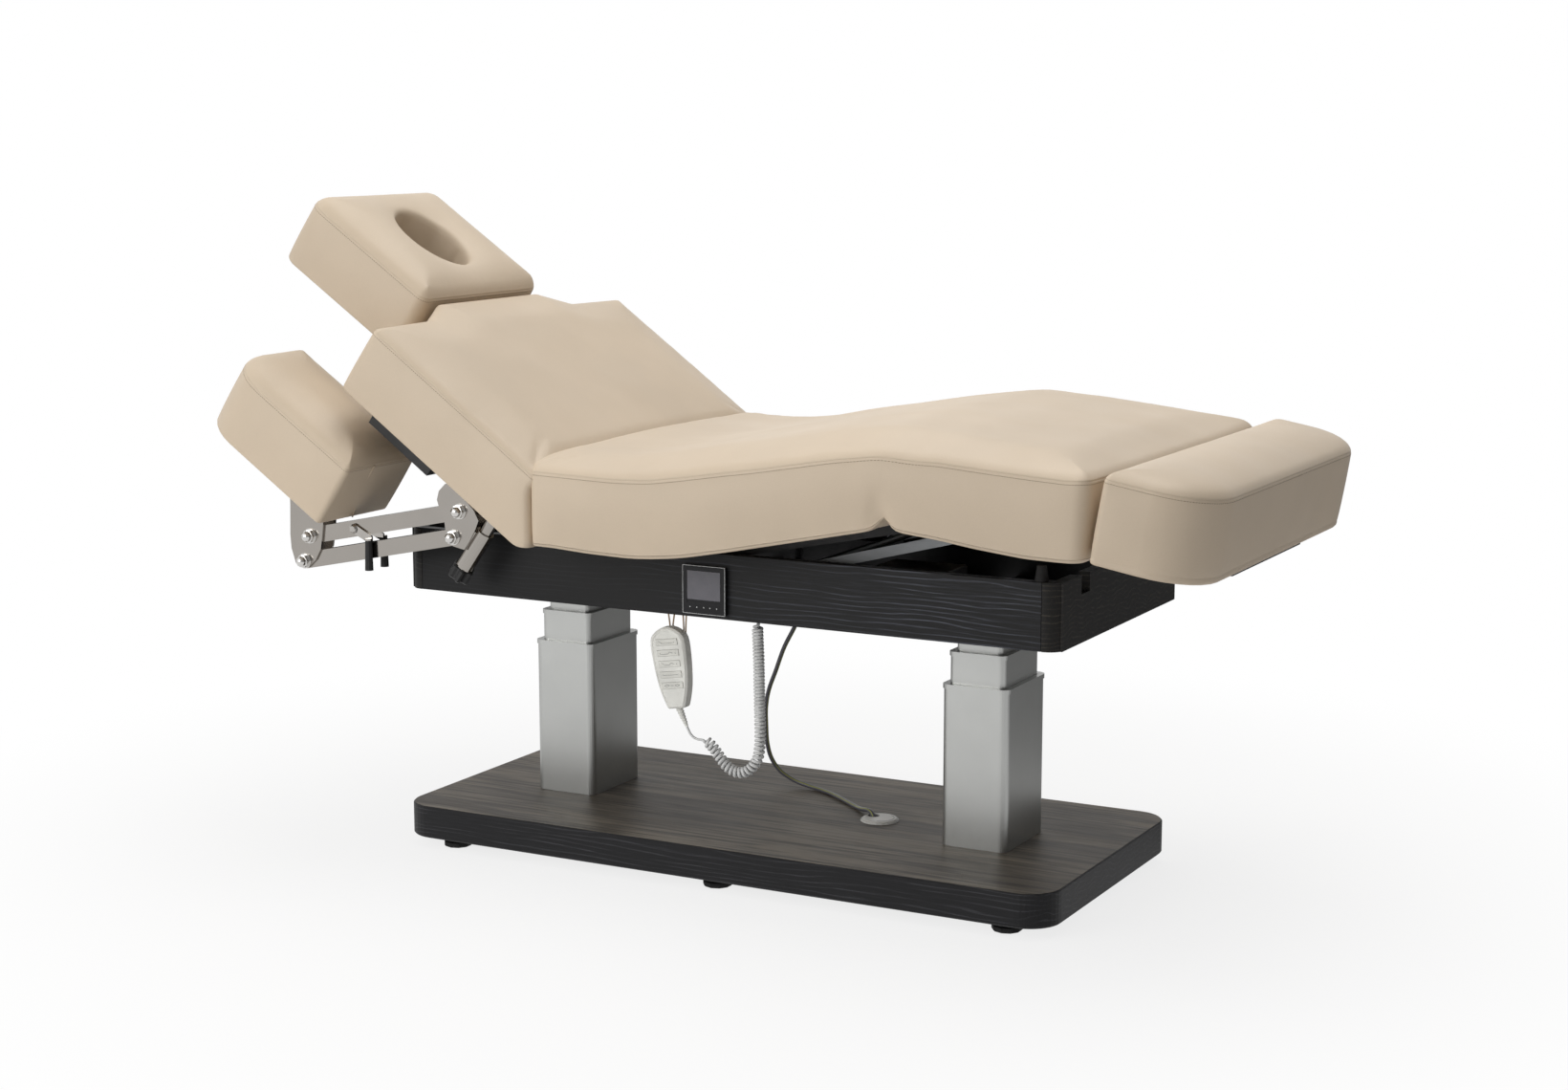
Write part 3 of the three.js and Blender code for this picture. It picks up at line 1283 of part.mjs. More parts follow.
function buildLever(frame, linkX, linkZ) {
  const share = 1 - leverAlong / linkLength;
  const pivotX = linkX * share;
  const pivotZ = linkZ * share;
  const inner = linkHalf + gap;
  const farEdge = leverReach + gripRadius / 2;
  const nearEdge = leverReach - gripRadius / 2;
  const arm = sidePlate([[-boltHeadRadius, -boltHeadRadius / 2], [-boltHeadRadius, boltHeadRadius / 2],
    [0, boltHeadRadius], [farEdge, -leverDrop + gripRadius / 2], [farEdge, -leverDrop - gripRadius],
    [nearEdge, -leverDrop - gripRadius], [0, -boltHeadRadius]], inner, inner + leverSheet);
  const gripY = inner + leverSheet + gripRadius / 2;
  const grip = post(gripRadius, leverReach, gripY, -leverDrop - gripRadius / 2 - gripLength, -leverDrop, 10,
    gripRadius * 0.8);
  const pin = crossBar(boltRadius, 0, 0, -inner - leverSheet / 2, inner + leverSheet / 2, 10);
  const head = new THREE.CylinderGeometry(boltHeadRadius * 0.6, boltHeadRadius, boltHeadHeight, 8);
  head.translate(0, inner + leverSheet + boltHeadHeight / 2 - overrun / 50, 0);
  const lever = join([...mirroredY([arm, grip, head]), pin]);
  add('arm_lock_lever', lever.translate([pivotX, 0, pivotZ]), blackPlastic, frame);
}

// A lobed clamping knob under the post
function buildKnob(frame) {
  const shape = new THREE.Shape();
  const steps = knobLobes * 5;
  for (let step = 0; step <= steps; step++) {
    const turn = (2 * Math.PI * step) / steps;
    const radius = knobRadius - knobLobe / 2 + (knobLobe / 2) * Math.cos(knobLobes * turn);
    shape[step ? 'lineTo' : 'moveTo'](radius * Math.cos(turn), radius * Math.sin(turn));
  }
  const top = -postTop - postLength - hingeDrop - gap;
  const body = bevelled(shape, top - knobHeight, top, knobLobe / 3, 1);
  const bore = post(postPinRadius + slip, 0, 0, top - knobHeight / 3 - slip, top + overrun);
  add('arm_knob', cut(body, [bore]), blackPlastic, frame);
}

// Handset, drawn standing with its foot at the origin and its face towards -Y

const handsetHalfShares = [[0, 0.42], [0.04, 0.56], [0.27, 0.86], [0.6, 1.02], [0.85, 1.0],
  [0.95, 0.66], [1, 0.2]];

function handsetShape(inset) {
  const right = handsetHalfShares.map(([height, half]) => (
    new THREE.Vector2(half * (handsetHalf - inset), inset + height * (handsetHeight - 2 * inset))
  ));
  const left = right.map((point) => new THREE.Vector2(-point.x, point.y)).reverse();
  const shape = new THREE.Shape();
  shape.moveTo(right[0].x, right[0].y);
  shape.splineThru(right.slice(1));
  shape.lineTo(left[0].x, left[0].y);
  shape.splineThru(left.slice(1));
  return shape;
}

function keyHeights() {
  return Array.from({ length: keyCount }, (_, row) => keyFirst + row * keyPitch);
}

function buildHandset() {
  const frame = frameAt(table, handsetX, handsetY, handsetZ, handsetLean);
  const body = bevelled(handsetShape(0), 0, handsetDepth, handsetRound, 3);
  body.rotateX(Math.PI / 2).translate(0, handsetDepth / 2, 0);
  const face = -handsetDepth / 2;
  const recesses = keyHeights().map((height) => block(-keyWidth / 2 - slip, keyWidth / 2 + slip,
    face - overrun, face + keyRecess, height - keyHeight / 2 - slip, height + keyHeight / 2 + slip));
  const boot = solid(post(bootTip, 0, 0, -bootLength, bootRadius, 16, bootRadius)).rotate([0, bootTurn, 0]);
  add('handset_case', join([cut(body, recesses), boot]), whitePlastic, frame);
  keyHeights().forEach((height, row) => {
    const back = face - keyProud + keySheet;
    const cap = block(-keyWidth / 2, keyWidth / 2, face - keyProud, back,
      height - keyHeight / 2, height + keyHeight / 2);
    const rib = block(-keyRib / 2, keyRib / 2, back - overrun / 10, face + keyRecess - gap,
      height - keyHeight / 2 + keyRib, height + keyHeight / 2 - keyRib);
    add(`handset_key_${row + 1}`, join([cap, rib]), whitePlastic, frame);
  });
}

function buildHook() {
  const y = handsetY + handsetDepth / 2 + gap + hookWire;
  const top = cabinetBottom - gap;
  const bend = hookWire * 5;
  const path = new THREE.CurvePath();
  const corner = (x, z) => new THREE.Vector3(x, y, z);
  const low = top - hookDrop;
  path.add(new THREE.LineCurve3(corner(hookLeft, top), corner(hookLeft, low + bend)));
  path.add(new THREE.QuadraticBezierCurve3(corner(hookLeft, low + bend), corner(hookLeft, low),
    corner(hookLeft + bend, low)));
  path.add(new THREE.LineCurve3(corner(hookLeft + bend, low), corner(hookRight - bend, low)));
  path.add(new THREE.QuadraticBezierCurve3(corner(hookRight - bend, low), corner(hookRight, low),
    corner(hookRight, low + bend)));
  path.add(new THREE.LineCurve3(corner(hookRight, low + bend), corner(hookRight, top)));
  add('handset_hook', roundTube(path, hookWire, 6, 14), wireBrown);
}

// A plain tube along a curve, with square ends
function roundTube(curve, radius, sides, steps) {
  const shape = new THREE.Shape();
  for (let side = 0; side < sides; side++) {
    const turn = (2 * Math.PI * side) / sides;
    shape[side ? 'lineTo' : 'moveTo'](radius * Math.cos(turn), radius * Math.sin(turn));
  }
  return new THREE.ExtrudeGeometry(shape, { steps, extrudePath: curve, bevelEnabled: false });
}

// Cords: their routes are chosen by hand, from the exit to the far end

// Along the table, in from the cabinet's near face, and up from the floor
const leadRoute = [[-41.26, 1, 294.3], [-39.1, 1, 289.8], [-35.2, 1, 283], [-29.5, 1.2, 277],
  [-21, 1.8, 273.4], [-12, 2.2, 272.8]];

const coilRoute = [[-11.7, 2.2, 272.8], [-4, 2.4, 272.3], [6, 3, 266], [19, 4.5, 251], [34, 6.5, 232],
  [50, 10, 221], [66, 14, 220], [80, 18, 229], [89, 22, 244], [92, 25, 262], [92, 28, 290],
  [90, 30, 330], [88, 32, 380], [86, 33.5, 430], [84, 34, 470], [84, 34, 490.7]];

const cableRoute = [[4, 100, 490.7], [3, 100, 478], [-2, 100, 462], [-14, 100, 437], [-30, 100, 405],
  [-50, 100, 368], [-69, 101, 320], [-86, 104, 279], [-94, 108, 245], [-97, 114, 210], [-98, 121, 170],
  [-94, 130, 140], [-82, 141, 115], [-58, 150, 97], [-25, 151, 88.5], [10, 141, 86.2], [48, 119, 86.2],
  [90, 87, 86.2], [126, 59, 86.2], [148, 40, 89.5], [162, 30, 92.5], [174, 22, 90.8], [181.5, 17, 82],
  [183.5, 16, 70], [184, 15, 48]];

function throughPoints(route, shiftY) {
  const points = route.map(([x, y, z]) => new THREE.Vector3(x, y + shiftY, z));
  return new THREE.CatmullRomCurve3(points, false, 'centripetal');
}

function buildCords() {
  cords.push(add('handset_lead', roundTube(throughPoints(leadRoute, nearFace), leadRadius, 8, 6), greyCord));
  cords.push(add('curly_cord', curls(throughPoints(coilRoute, nearFace)), greyCord));
  cords.push(add('supply_cable', roundTube(throughPoints(cableRoute, 0), cableRadius, 6, 32), darkCord));
}

// One unbroken tube wound round the route, straight at both ends
function curls(route) {
  const length = route.getLength();
  const steps = coilTurns * coilSteps;
  const straight = 2 * leadRadius;
  const frames = route.computeFrenetFrames(steps);
  const centres = [];
  for (let step = 0; step <= steps; step++) {
    const share = step / steps;
    const turn = 2 * Math.PI * coilTurns * share;
    const toEnd = Math.min(share, 1 - share) * length;
    const open = coilRadius * smooth((toEnd - straight) / (2 * coilRadius));
    const centre = route.getPointAt(share);
    centre.addScaledVector(frames.normals[step], open * Math.cos(turn));
    centre.addScaledVector(frames.binormals[step], open * Math.sin(turn));
    centres.push(centre);
  }
  console.log(`curly cord: least gap between its turns ${leastGap(centres).toFixed(2)} mm`);
  return skin(centres.map((centre, step) => ringRound(centres, step, frames)));
}

function ringRound(centres, step, frames) {
  const before = centres[Math.max(0, step - 1)];
  const after = centres[Math.min(centres.length - 1, step + 1)];
  const along = after.clone().sub(before).normalize();
  const end = step === 0 || step === centres.length - 1;
  if (end) along.copy(frames.tangents[step]);
  const radial = frames.normals[step].clone();
  const across = along.clone().cross(radial).normalize();
  const up = across.clone().cross(along).normalize();
  return Array.from({ length: coilSides }, (_, side) => {
    const turn = (2 * Math.PI * side) / coilSides;
    return centres[step].clone()
      .addScaledVector(up, leadRadius * Math.cos(turn))
      .addScaledVector(across, leadRadius * Math.sin(turn));
  });
}

// The least clear space between two places on the wire that are over three diameters apart along it
function leastGap(centres) {
  let least = Infinity;
  for (let i = 0; i < centres.length; i++) {
    let along = 0;
    for (let j = i + 1; j < Math.min(centres.length, i + 3 * coilSteps); j++) {
      along += centres[j].distanceTo(centres[j - 1]);
      const clear = centres[i].distanceTo(centres[j]) - 2 * leadRadius;
      if (along > 6 * leadRadius) least = Math.min(least, clear);
    }
  }
  return least;
}

// Whole table

buildPlinth();
buildGrommet();
buildColumns();
buildCabinet();
buildChassis();
buildStops();
buildControl();

const backFrame = frameAt(table, backHingeX, 0, hingeZ, backAngle);
buildBackCushion(backFrame);
buildBackFrame(backFrame);
buildHeadrest(backFrame);
buildArm(backFrame);

const thighFrame = frameAt(table, thighHingeX, 0, hingeZ, -thighAngle);
const [kneeX, kneeZ] = kneePlace();
const calfFrame = frameAt(table, kneeX, 0, kneeZ, -calfAngle);
buildLegCushion();
buildThighDeck(thighFrame);
buildCalfDeck(calfFrame);
buildFootRest(calfFrame);
buildStruts();
buildActuators();

buildHandset();
buildHook();
buildCords();

// The origin goes to the middle of the footprint, on the floor; the cords don't count
table.updateMatrixWorld(true);
const footprint = new THREE.Box3();
table.traverse((object) => {
  if (object.isMesh && !cords.includes(object)) footprint.expandByObject(object, true);
});
const middle = footprint.getCenter(new THREE.Vector3());
table.position.set(-middle.x, -middle.y, -footprint.min.z);

export default table;
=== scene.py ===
"""The electric spa table's looks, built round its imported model.

Lengths are millimetres in the frame that the table was drawn in, with the floor at 0 and the
middle of the plinth at the origin. place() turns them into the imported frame's metres.
"""

import math

import bmesh
import bpy
import numpy as np
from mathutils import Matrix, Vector, kdtree, noise
from mathutils.geometry import delaunay_2d_cdt


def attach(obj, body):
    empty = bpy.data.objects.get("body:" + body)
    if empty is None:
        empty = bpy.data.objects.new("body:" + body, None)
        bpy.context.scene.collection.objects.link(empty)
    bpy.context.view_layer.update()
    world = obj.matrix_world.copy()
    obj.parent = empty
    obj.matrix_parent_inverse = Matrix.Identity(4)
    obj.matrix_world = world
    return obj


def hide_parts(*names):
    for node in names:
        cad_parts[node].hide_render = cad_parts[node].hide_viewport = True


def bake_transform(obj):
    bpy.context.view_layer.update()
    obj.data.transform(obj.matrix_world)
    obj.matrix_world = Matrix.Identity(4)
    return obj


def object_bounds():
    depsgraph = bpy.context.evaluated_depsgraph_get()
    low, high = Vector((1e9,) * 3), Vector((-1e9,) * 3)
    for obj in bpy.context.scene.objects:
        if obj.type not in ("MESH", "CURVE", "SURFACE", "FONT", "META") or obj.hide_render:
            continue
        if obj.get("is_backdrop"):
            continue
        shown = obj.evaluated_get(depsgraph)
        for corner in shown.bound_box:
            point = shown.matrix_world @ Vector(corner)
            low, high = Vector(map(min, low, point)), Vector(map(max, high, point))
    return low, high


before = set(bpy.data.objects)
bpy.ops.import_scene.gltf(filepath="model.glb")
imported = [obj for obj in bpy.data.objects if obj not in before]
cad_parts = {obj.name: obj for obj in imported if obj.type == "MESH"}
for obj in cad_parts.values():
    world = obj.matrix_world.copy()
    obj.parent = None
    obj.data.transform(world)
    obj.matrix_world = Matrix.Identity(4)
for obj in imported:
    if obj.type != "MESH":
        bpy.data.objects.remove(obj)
cad_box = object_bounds()


def middle_of(node):
    """The middle of a node of the model, seen from above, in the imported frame's millimetres."""
    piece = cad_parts[node]
    corners = np.array([piece.matrix_world @ Vector(c) for c in piece.bound_box])
    return 1000 * (corners.min(0) + corners.max(0)) / 2 * (1, 1, 0)


SHIFT = middle_of("base_cover")


def place(points):
    """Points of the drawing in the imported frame's metres."""
    return (np.asarray(points, float) + SHIFT) / 1000


def link(name, data):
    """Puts an object into the scene."""
    made = bpy.data.objects.new(name, data)
    bpy.context.scene.collection.objects.link(made)
    return made


# Camera

LENS, SENSOR = 61.34, 36  # millimetres
CAMERA_AT = (2.2846, -4.269, 1.3806)  # metres
CAMERA_DOWN, CAMERA_ROUND = 9.34, 27.97  # degrees


def make_camera():
    data = bpy.data.cameras.new("camera")
    data.sensor_width = SENSOR
    data.lens = LENS
    camera = link("camera", data)
    camera.location = CAMERA_AT
    camera.rotation_euler = [math.radians(a) for a in (90 - CAMERA_DOWN, 0, CAMERA_ROUND)]
    bpy.context.scene.camera = camera


make_camera()


# Materials

WHITE = (1, 1, 1, 1)


def srgb(r, g, b):
    """A colour as it looks, from 0 to 255, in the renderer's linear values."""
    values = [c / 255 for c in (r, g, b)]
    return [*(c / 12.92 if c < 0.04045 else ((c + 0.055) / 1.055) ** 2.4 for c in values), 1]


def tinted(colour, share, lift=0.0):
    return [min(1, c * share + lift) for c in colour[:3]] + [1]


class Nodes:
    """The node tree of a material or world, built one node at a time."""

    def __init__(self, owner, output="ShaderNodeOutputMaterial"):
        owner.use_nodes = True
        self.owner = owner
        self.tree = owner.node_tree
        self.tree.nodes.clear()
        self.out = self.add(output)
        self.coords = self.add("ShaderNodeTexCoord").outputs

    def add(self, kind, inputs=(), **settings):
        node = self.tree.nodes.new(kind)
        for key, value in settings.items():
            setattr(node, key, value)
        for key, value in dict(inputs).items():
            if isinstance(value, bpy.types.NodeSocket):
                self.tree.links.new(value, node.inputs[key])
            else:
                node.inputs[key].default_value = value
        return node

    def space(self, scale=(1, 1, 1), turn=(0, 0, 0)):
        turns = [math.radians(a) for a in turn]
        inputs = {"Vector": self.coords["Object"], "Scale": scale, "Rotation": turns}
        return self.add("ShaderNodeMapping", inputs).outputs[0]

    def split(self, space="Object"):
        """The coordinates as X, Y and Z."""
        return self.add("ShaderNodeSeparateXYZ", {0: self.coords[space]}).outputs

    def noise(self, scale, vector=None, detail=2.0, rough=0.5, distortion=0.0):
        inputs = {"Vector": vector or self.coords["Object"], "Scale": scale,
                  "Detail": detail, "Roughness": rough, "Distortion": distortion}
        return self.add("ShaderNodeTexNoise", inputs).outputs["Fac"]

    def ramp(self, value, stops, smooth=False):
        """Colours or levels between stops."""
        node = self.add("ShaderNodeValToRGB", {"Fac": value})
        ramp = node.color_ramp
        ramp.interpolation = "EASE" if smooth else "LINEAR"
        while len(ramp.elements) < len(stops):
            ramp.elements.new(0.5)
        for element, (where, colour) in zip(ramp.elements, stops):
            element.position = where
            element.color = colour if hasattr(colour, "__len__") else (colour,) * 3 + (1,)
        return node.outputs["Color"]

    def math(self, operation, a, b=0.0, clamp=False):
        settings = {"operation": operation, "use_clamp": clamp}
        return self.add("ShaderNodeMath", {0: a, 1: b}, **settings).outputs[0]

    def mix(self, share, a, b):
        """One colour turning into another as the share grows."""
        return self.add("ShaderNodeMix", {0: share, 6: a, 7: b}, data_type="RGBA").outputs[2]

    def bump(self, height, distance, strength=1.0, normal=None):
        inputs = {"Height": height, "Distance": distance, "Strength": strength}
        if normal:
            inputs["Normal"] = normal
        return self.add("ShaderNodeBump", inputs).outputs[0]

    def blend(self, share, a, b):
        """One shader where the share is 0 and the other where it is 1."""
        return self.add("ShaderNodeMixShader", {0: share, 1: a.outputs[0], 2: b.outputs[0]})

    def surface(self, shader):
        self.tree.links.new(shader.outputs[0], self.out.inputs["Surface"])
        return self.owner

    def finish(self, **inputs):
        """The material, with these inputs on its one shader."""
        inputs = {key.replace("_", " "): value for key, value in inputs.items()}
        return self.surface(self.add("ShaderNodeBsdfPrincipled", inputs))


def new_material(name):
    return Nodes(bpy.data.materials.new(name))


def vinyl(name, colour):
    """Upholstery vinyl: a fine leather grain over soft unevenness."""
    n = new_material(name)
    low, high, pit = (tinted(colour, share) for share in (0.955, 1.03, 0.8))
    broad = n.noise(5.0, detail=3)
    grain = n.add("ShaderNodeTexVoronoi", {"Vector": n.coords["Object"], "Scale": 620.0},
                  feature="SMOOTH_F1").outputs["Distance"]
    fine = n.noise(1500.0, detail=1)
    tint = n.mix(0.12, n.ramp(broad, [(0.3, low), (0.7, high)]),
                 n.ramp(grain, [(0.15, high), (0.65, pit)]))
    first = n.bump(n.noise(38.0, detail=2), 0.0006, 0.35)
    normal = n.bump(grain, 0.00022, 0.5, n.bump(fine, 0.00008, 0.35, first))
    rough = n.ramp(n.noise(9.0, detail=2), [(0.3, 0.44), (0.7, 0.53)])
    return n.finish(Base_Color=tint, Roughness=rough, Normal=normal, Specular_IOR_Level=0.42,
                    Sheen_Weight=0.06, Sheen_Roughness=0.4)


def oak(name, dark, vein, along="X", top=None, fade=None):
    """Black-stained oak with paler open grain. top gives a browner upper face over a height, and
    fade the two places along X between which the figure grows, both in metres."""
    n = new_material(name)
    turn = (0, 0, 90) if along == "Y" else (0, 0, 0)
    wave = {"Vector": n.space((0.18, 1, 1), turn), "Scale": 34.0, "Distortion": 14.0,
            "Detail": 2.0, "Detail Scale": 0.5, "Detail Roughness": 0.45}
    figure = n.add("ShaderNodeTexWave", wave, wave_type="BANDS", bands_direction="Z",
                   wave_profile="SIN").outputs["Fac"]
    fibre = n.noise(1.0, n.space((16, 800, 800), turn), detail=2, rough=0.6)
    broken = n.noise(1.0, n.space((6, 40, 40), turn), detail=2)
    line = n.ramp(figure, [(0.8, 0.0), (0.97, 1.0)], smooth=True)
    line = n.math("MULTIPLY", line, n.ramp(fibre, [(0.38, 0.25), (0.56, 1.0)]))
    line = n.math("MULTIPLY", line, n.ramp(broken, [(0.38, 0.1), (0.58, 1.0)]), clamp=True)
    hair = n.ramp(fibre, [(0.52, 0.0), (0.75, 0.3)])
    grain = n.math("MAXIMUM", line, hair)
    where = n.split()
    if fade:
        start, end = fade
        share = n.math("MULTIPLY", n.math("SUBTRACT", where["X"], start), 1 / (end - start),
                       clamp=True)
        grain = n.math("MULTIPLY", grain, n.ramp(share, [(0.0, 0.08), (1.0, 1.0)]))
    base = n.mix(n.math("MULTIPLY", grain, 0.9), dark, vein)
    if top:
        level, pale, deep = top
        above = n.math("MULTIPLY", n.math("SUBTRACT", where["Z"], level), 1000.0)
        cloud = n.noise(1.0, n.space((1.8, 13, 13), turn), detail=4, rough=0.6, distortion=0.9)
        streak = n.noise(1.0, n.space((4, 95, 95), turn), detail=3, rough=0.6, distortion=0.5)
        board = n.mix(n.ramp(cloud, [(0.38, 0.0), (0.6, 1.0)]), deep, pale)
        board = n.mix(n.ramp(streak, [(0.46, 0.0), (0.62, 0.8)]), board, tinted(deep, 0.42))
        base = n.mix(n.ramp(above, [(0.0, 0.0), (0.4, 1.0)]), base, board)
    pores = n.math("ADD", n.math("MULTIPLY", grain, -0.7), n.math("MULTIPLY", fibre, 0.5))
    rough = n.ramp(fibre, [(0.3, 0.42), (0.7, 0.58)])
    return n.finish(Base_Color=base, Roughness=rough, Normal=n.bump(pores, 0.0004, 0.5),
                    Specular_IOR_Level=0.22)


def metal(name, colour, roughness, brush=None, wear=0.04):
    """Metal with faint cloudiness, brushed along the axis of brush's smallest scale."""
    n = new_material(name)
    tint = n.ramp(n.noise(14.0, detail=3), [(0.3, tinted(colour, 1 - wear)), (0.7, colour)])
    lines = n.noise(1.0, n.space(brush or (160, 160, 160)), detail=2, rough=0.6)
    normal = n.bump(lines, 0.00006 if brush else 0.00003, 0.5)
    rough = n.ramp(lines, [(0.25, roughness * 0.86), (0.75, min(1, roughness * 1.16))])
    return n.finish(Base_Color=tint, Roughness=rough, Normal=normal, Metallic=1.0)


def coated(name, colour, roughness, scale, depth=0.00012, coat=0.0):
    """Moulded plastic, rubber or powder coat with a fine texture."""
    n = new_material(name)
    low, high = tinted(colour, 0.9), tinted(colour, 1.12, 0.002)
    tint = n.ramp(n.noise(24.0, detail=3), [(0.3, low), (0.7, high)])
    fine = n.noise(scale, detail=2)
    rough = n.ramp(n.noise(60.0, detail=2),
                   [(0.3, roughness * 0.9), (0.7, min(1, roughness * 1.1))])
    return n.finish(Base_Color=tint, Roughness=rough, Normal=n.bump(fine, depth, 0.5),
                    Specular_IOR_Level=0.4, Coat_Weight=coat)


def glass_black(name):
    n = new_material(name)
    smear = n.noise(30.0, detail=3, distortion=0.5)
    tint = n.ramp(smear, [(0.3, srgb(17, 17, 19)), (0.8, srgb(24, 24, 27))])
    rough = n.ramp(smear, [(0.35, 0.07), (0.75, 0.15)])
    return n.finish(Base_Color=tint, Roughness=rough, Normal=n.bump(n.noise(9.0), 0.00005, 0.2),
                    Specular_IOR_Level=0.3)


def two_tone(name, level):
    """A chrome lever whose handles, below a level in metres, are black rubber."""
    n = new_material(name)
    above = n.math("MULTIPLY", n.math("SUBTRACT", n.split()["Z"], level), 1000.0)
    bare = n.ramp(above, [(0.0, 0.0), (0.5, 1.0)])
    worn = n.noise(30.0, detail=3)
    shiny = n.ramp(worn, [(0.3, srgb(176, 172, 167)), (0.7, srgb(190, 186, 181))])
    dark = n.ramp(worn, [(0.3, srgb(16, 16, 17)), (0.7, srgb(22, 22, 23))])
    rough = n.ramp(bare, [(0.0, 0.7), (1.0, 0.14)])
    return n.finish(Base_Color=n.mix(bare, dark, shiny), Roughness=rough, Metallic=bare,
                    Normal=n.bump(n.noise(600.0), 0.00004, 0.4))


PLINTH_FACE = 0.0816  # metres: just under the plinth's upper face
LEVER_GRIP = 0.5925  # metres: the top of the lock lever's rubber grips

tan = vinyl("tan_vinyl", srgb(205, 188, 166))
# Painted shade: the stitches' thread is given a darker tan than the vinyl, standing in for the
# shade in its needle holes.
painted_shade_thread = coated("painted_shade_thread", srgb(122, 104, 84), 0.8, 900.0)
cabinet_oak = oak("cabinet_oak", srgb(21, 21, 22), srgb(80, 83, 92), fade=(-0.15, 0.4))
end_oak = oak("end_oak", srgb(22, 21, 20), srgb(60, 56, 50), along="Y")
plinth_oak = oak("plinth_oak", srgb(27, 27, 29), srgb(62, 62, 66),
                 top=(PLINTH_FACE, srgb(126, 117, 104), srgb(78, 71, 62)))
aluminium = metal("anodised_aluminium", srgb(186, 187, 185), 0.36, brush=(900, 900, 14))
# Painted shade: this chrome is given a darker colour than the nuts' bright chrome, standing in for
# the darker surroundings it reflects.
chrome = metal("chrome", srgb(170, 165, 159), 0.13, wear=0.05)
bright_chrome = metal("bright_chrome", srgb(214, 212, 209), 0.08, wear=0.03)
zinc = metal("zinc_steel", srgb(128, 130, 132), 0.46, brush=(40, 700, 700))
steel = coated("black_powder_coat", srgb(26, 26, 28), 0.5, 420.0, 0.0002)
rubber = coated("black_rubber", srgb(18, 18, 19), 0.78, 700.0, 0.0002)
black_plastic = coated("black_plastic", srgb(22, 22, 23), 0.42, 600.0)
white_plastic = coated("white_plastic", srgb(224, 224, 219), 0.42, 800.0, 0.00006)
key_plastic = coated("key_plastic", srgb(216, 216, 210), 0.5, 800.0, 0.00006)
print_grey = coated("grey_print", srgb(96, 98, 100), 0.6, 800.0, 0.00002)
grommet_grey = coated("grey_plastic", srgb(196, 195, 190), 0.4, 500.0, 0.00006)
lid_grey = coated("lid_grey", srgb(206, 203, 197), 0.36, 500.0, 0.00005)
cord_grey = coated("grey_cord", srgb(212, 213, 213), 0.36, 500.0, 0.00004)
cable_grey = coated("cable_grey", srgb(92, 91, 98), 0.34, 300.0, 0.00008)
cable_stripe = coated("cable_stripe", srgb(150, 152, 82), 0.45, 300.0, 0.00008)
lever_finish = two_tone("lever_finish", LEVER_GRIP)
wire_brown = metal("brown_wire", srgb(150, 128, 104), 0.35, wear=0.12)
black_glass = glass_black("black_glass")
screen_grey = coated("screen", srgb(92, 91, 98), 0.22, 200.0, 0.00001, coat=0.4)
border_white = coated("border", srgb(196, 198, 200), 0.4, 400.0, 0.00002)


# Meshes


def new_mesh(name, points, faces):
    mesh = bpy.data.meshes.new(name)
    mesh.from_pydata([tuple(p) for p in points], [], [tuple(int(i) for i in f) for f in faces])
    return mesh


def new_object(name, points, faces, materials, indices=None):
    """A piece of the table, from points of the drawing."""
    mesh = new_mesh(name, place(points), faces)
    for material in materials:
        mesh.materials.append(material)
    if indices is not None:
        mesh.polygons.foreach_set("material_index", np.asarray(indices, np.int32))
    mesh.polygons.foreach_set("use_smooth", np.ones(len(mesh.polygons), bool))
    mesh.validate()
    mesh.update()
    return link(name, mesh)


def at_height(flat, z):
    """Points in x and y, with one height or one for each."""
    return np.column_stack([flat, np.zeros(len(flat)) + z])


def bands(count, rows, first=0, closed=False):
    """The faces between successive rings of one count of points."""
    faces = []
    for k in range(rows if closed else rows - 1):
        a, b = first + k * count, first + (k + 1) % rows * count
        faces += [(a + i, a + (i + 1) % count, b + (i + 1) % count, b + i) for i in range(count)]
    return faces


def ring_body(rings, closed=True):
    """A body swept through rings: back to its first ring, or capped at both ends."""
    count, rows = len(rings[0]), len(rings)
    faces = bands(count, rows, closed=closed)
    if not closed:
        faces += [tuple(range(count))[::-1], tuple(range((rows - 1) * count, rows * count))]
    return np.vstack(rings), faces


def merged(bodies):
    """Several bodies' points and faces as one."""
    points, faces, total = [], [], 0
    for body_points, body_faces in bodies:
        points.append(body_points)
        faces += [tuple(total + i for i in f) for f in body_faces]
        total += len(body_points)
    return np.vstack(points), faces


def carried_frames(line, side):
    """The two directions across a line at each of its points, turned as little as can be."""
    way = np.gradient(line, axis=0)
    way /= np.linalg.norm(way, axis=1)[:, None]
    for ahead in way:
        side = side - ahead * side.dot(ahead)
        side /= np.linalg.norm(side)
        yield side, np.cross(ahead, side)


def tube_points(line, radius, sides):
    """A tube round a line, closed at both ends."""
    line = np.asarray(line, float)
    start = line[1] - line[0]
    upright = abs(start[2]) >= 0.9 * np.linalg.norm(start)
    side = np.cross(start, (1.0, 0.0, 0.0) if upright else (0.0, 0.0, 1.0))
    radii = np.broadcast_to(radius, (len(line),))
    turns = 2 * math.pi * np.arange(sides) / sides
    rings = [middle + r * (np.outer(np.cos(turns), a) + np.outer(np.sin(turns), b))
             for middle, r, (a, b) in zip(line, radii, carried_frames(line, side))]
    return ring_body(rings, closed=False)


def nearest(points):
    """A tree that finds the points nearest to a place."""
    tree = kdtree.KDTree(len(points))
    for i, p in enumerate(points):
        tree.insert(p, i)
    tree.balance()
    return tree


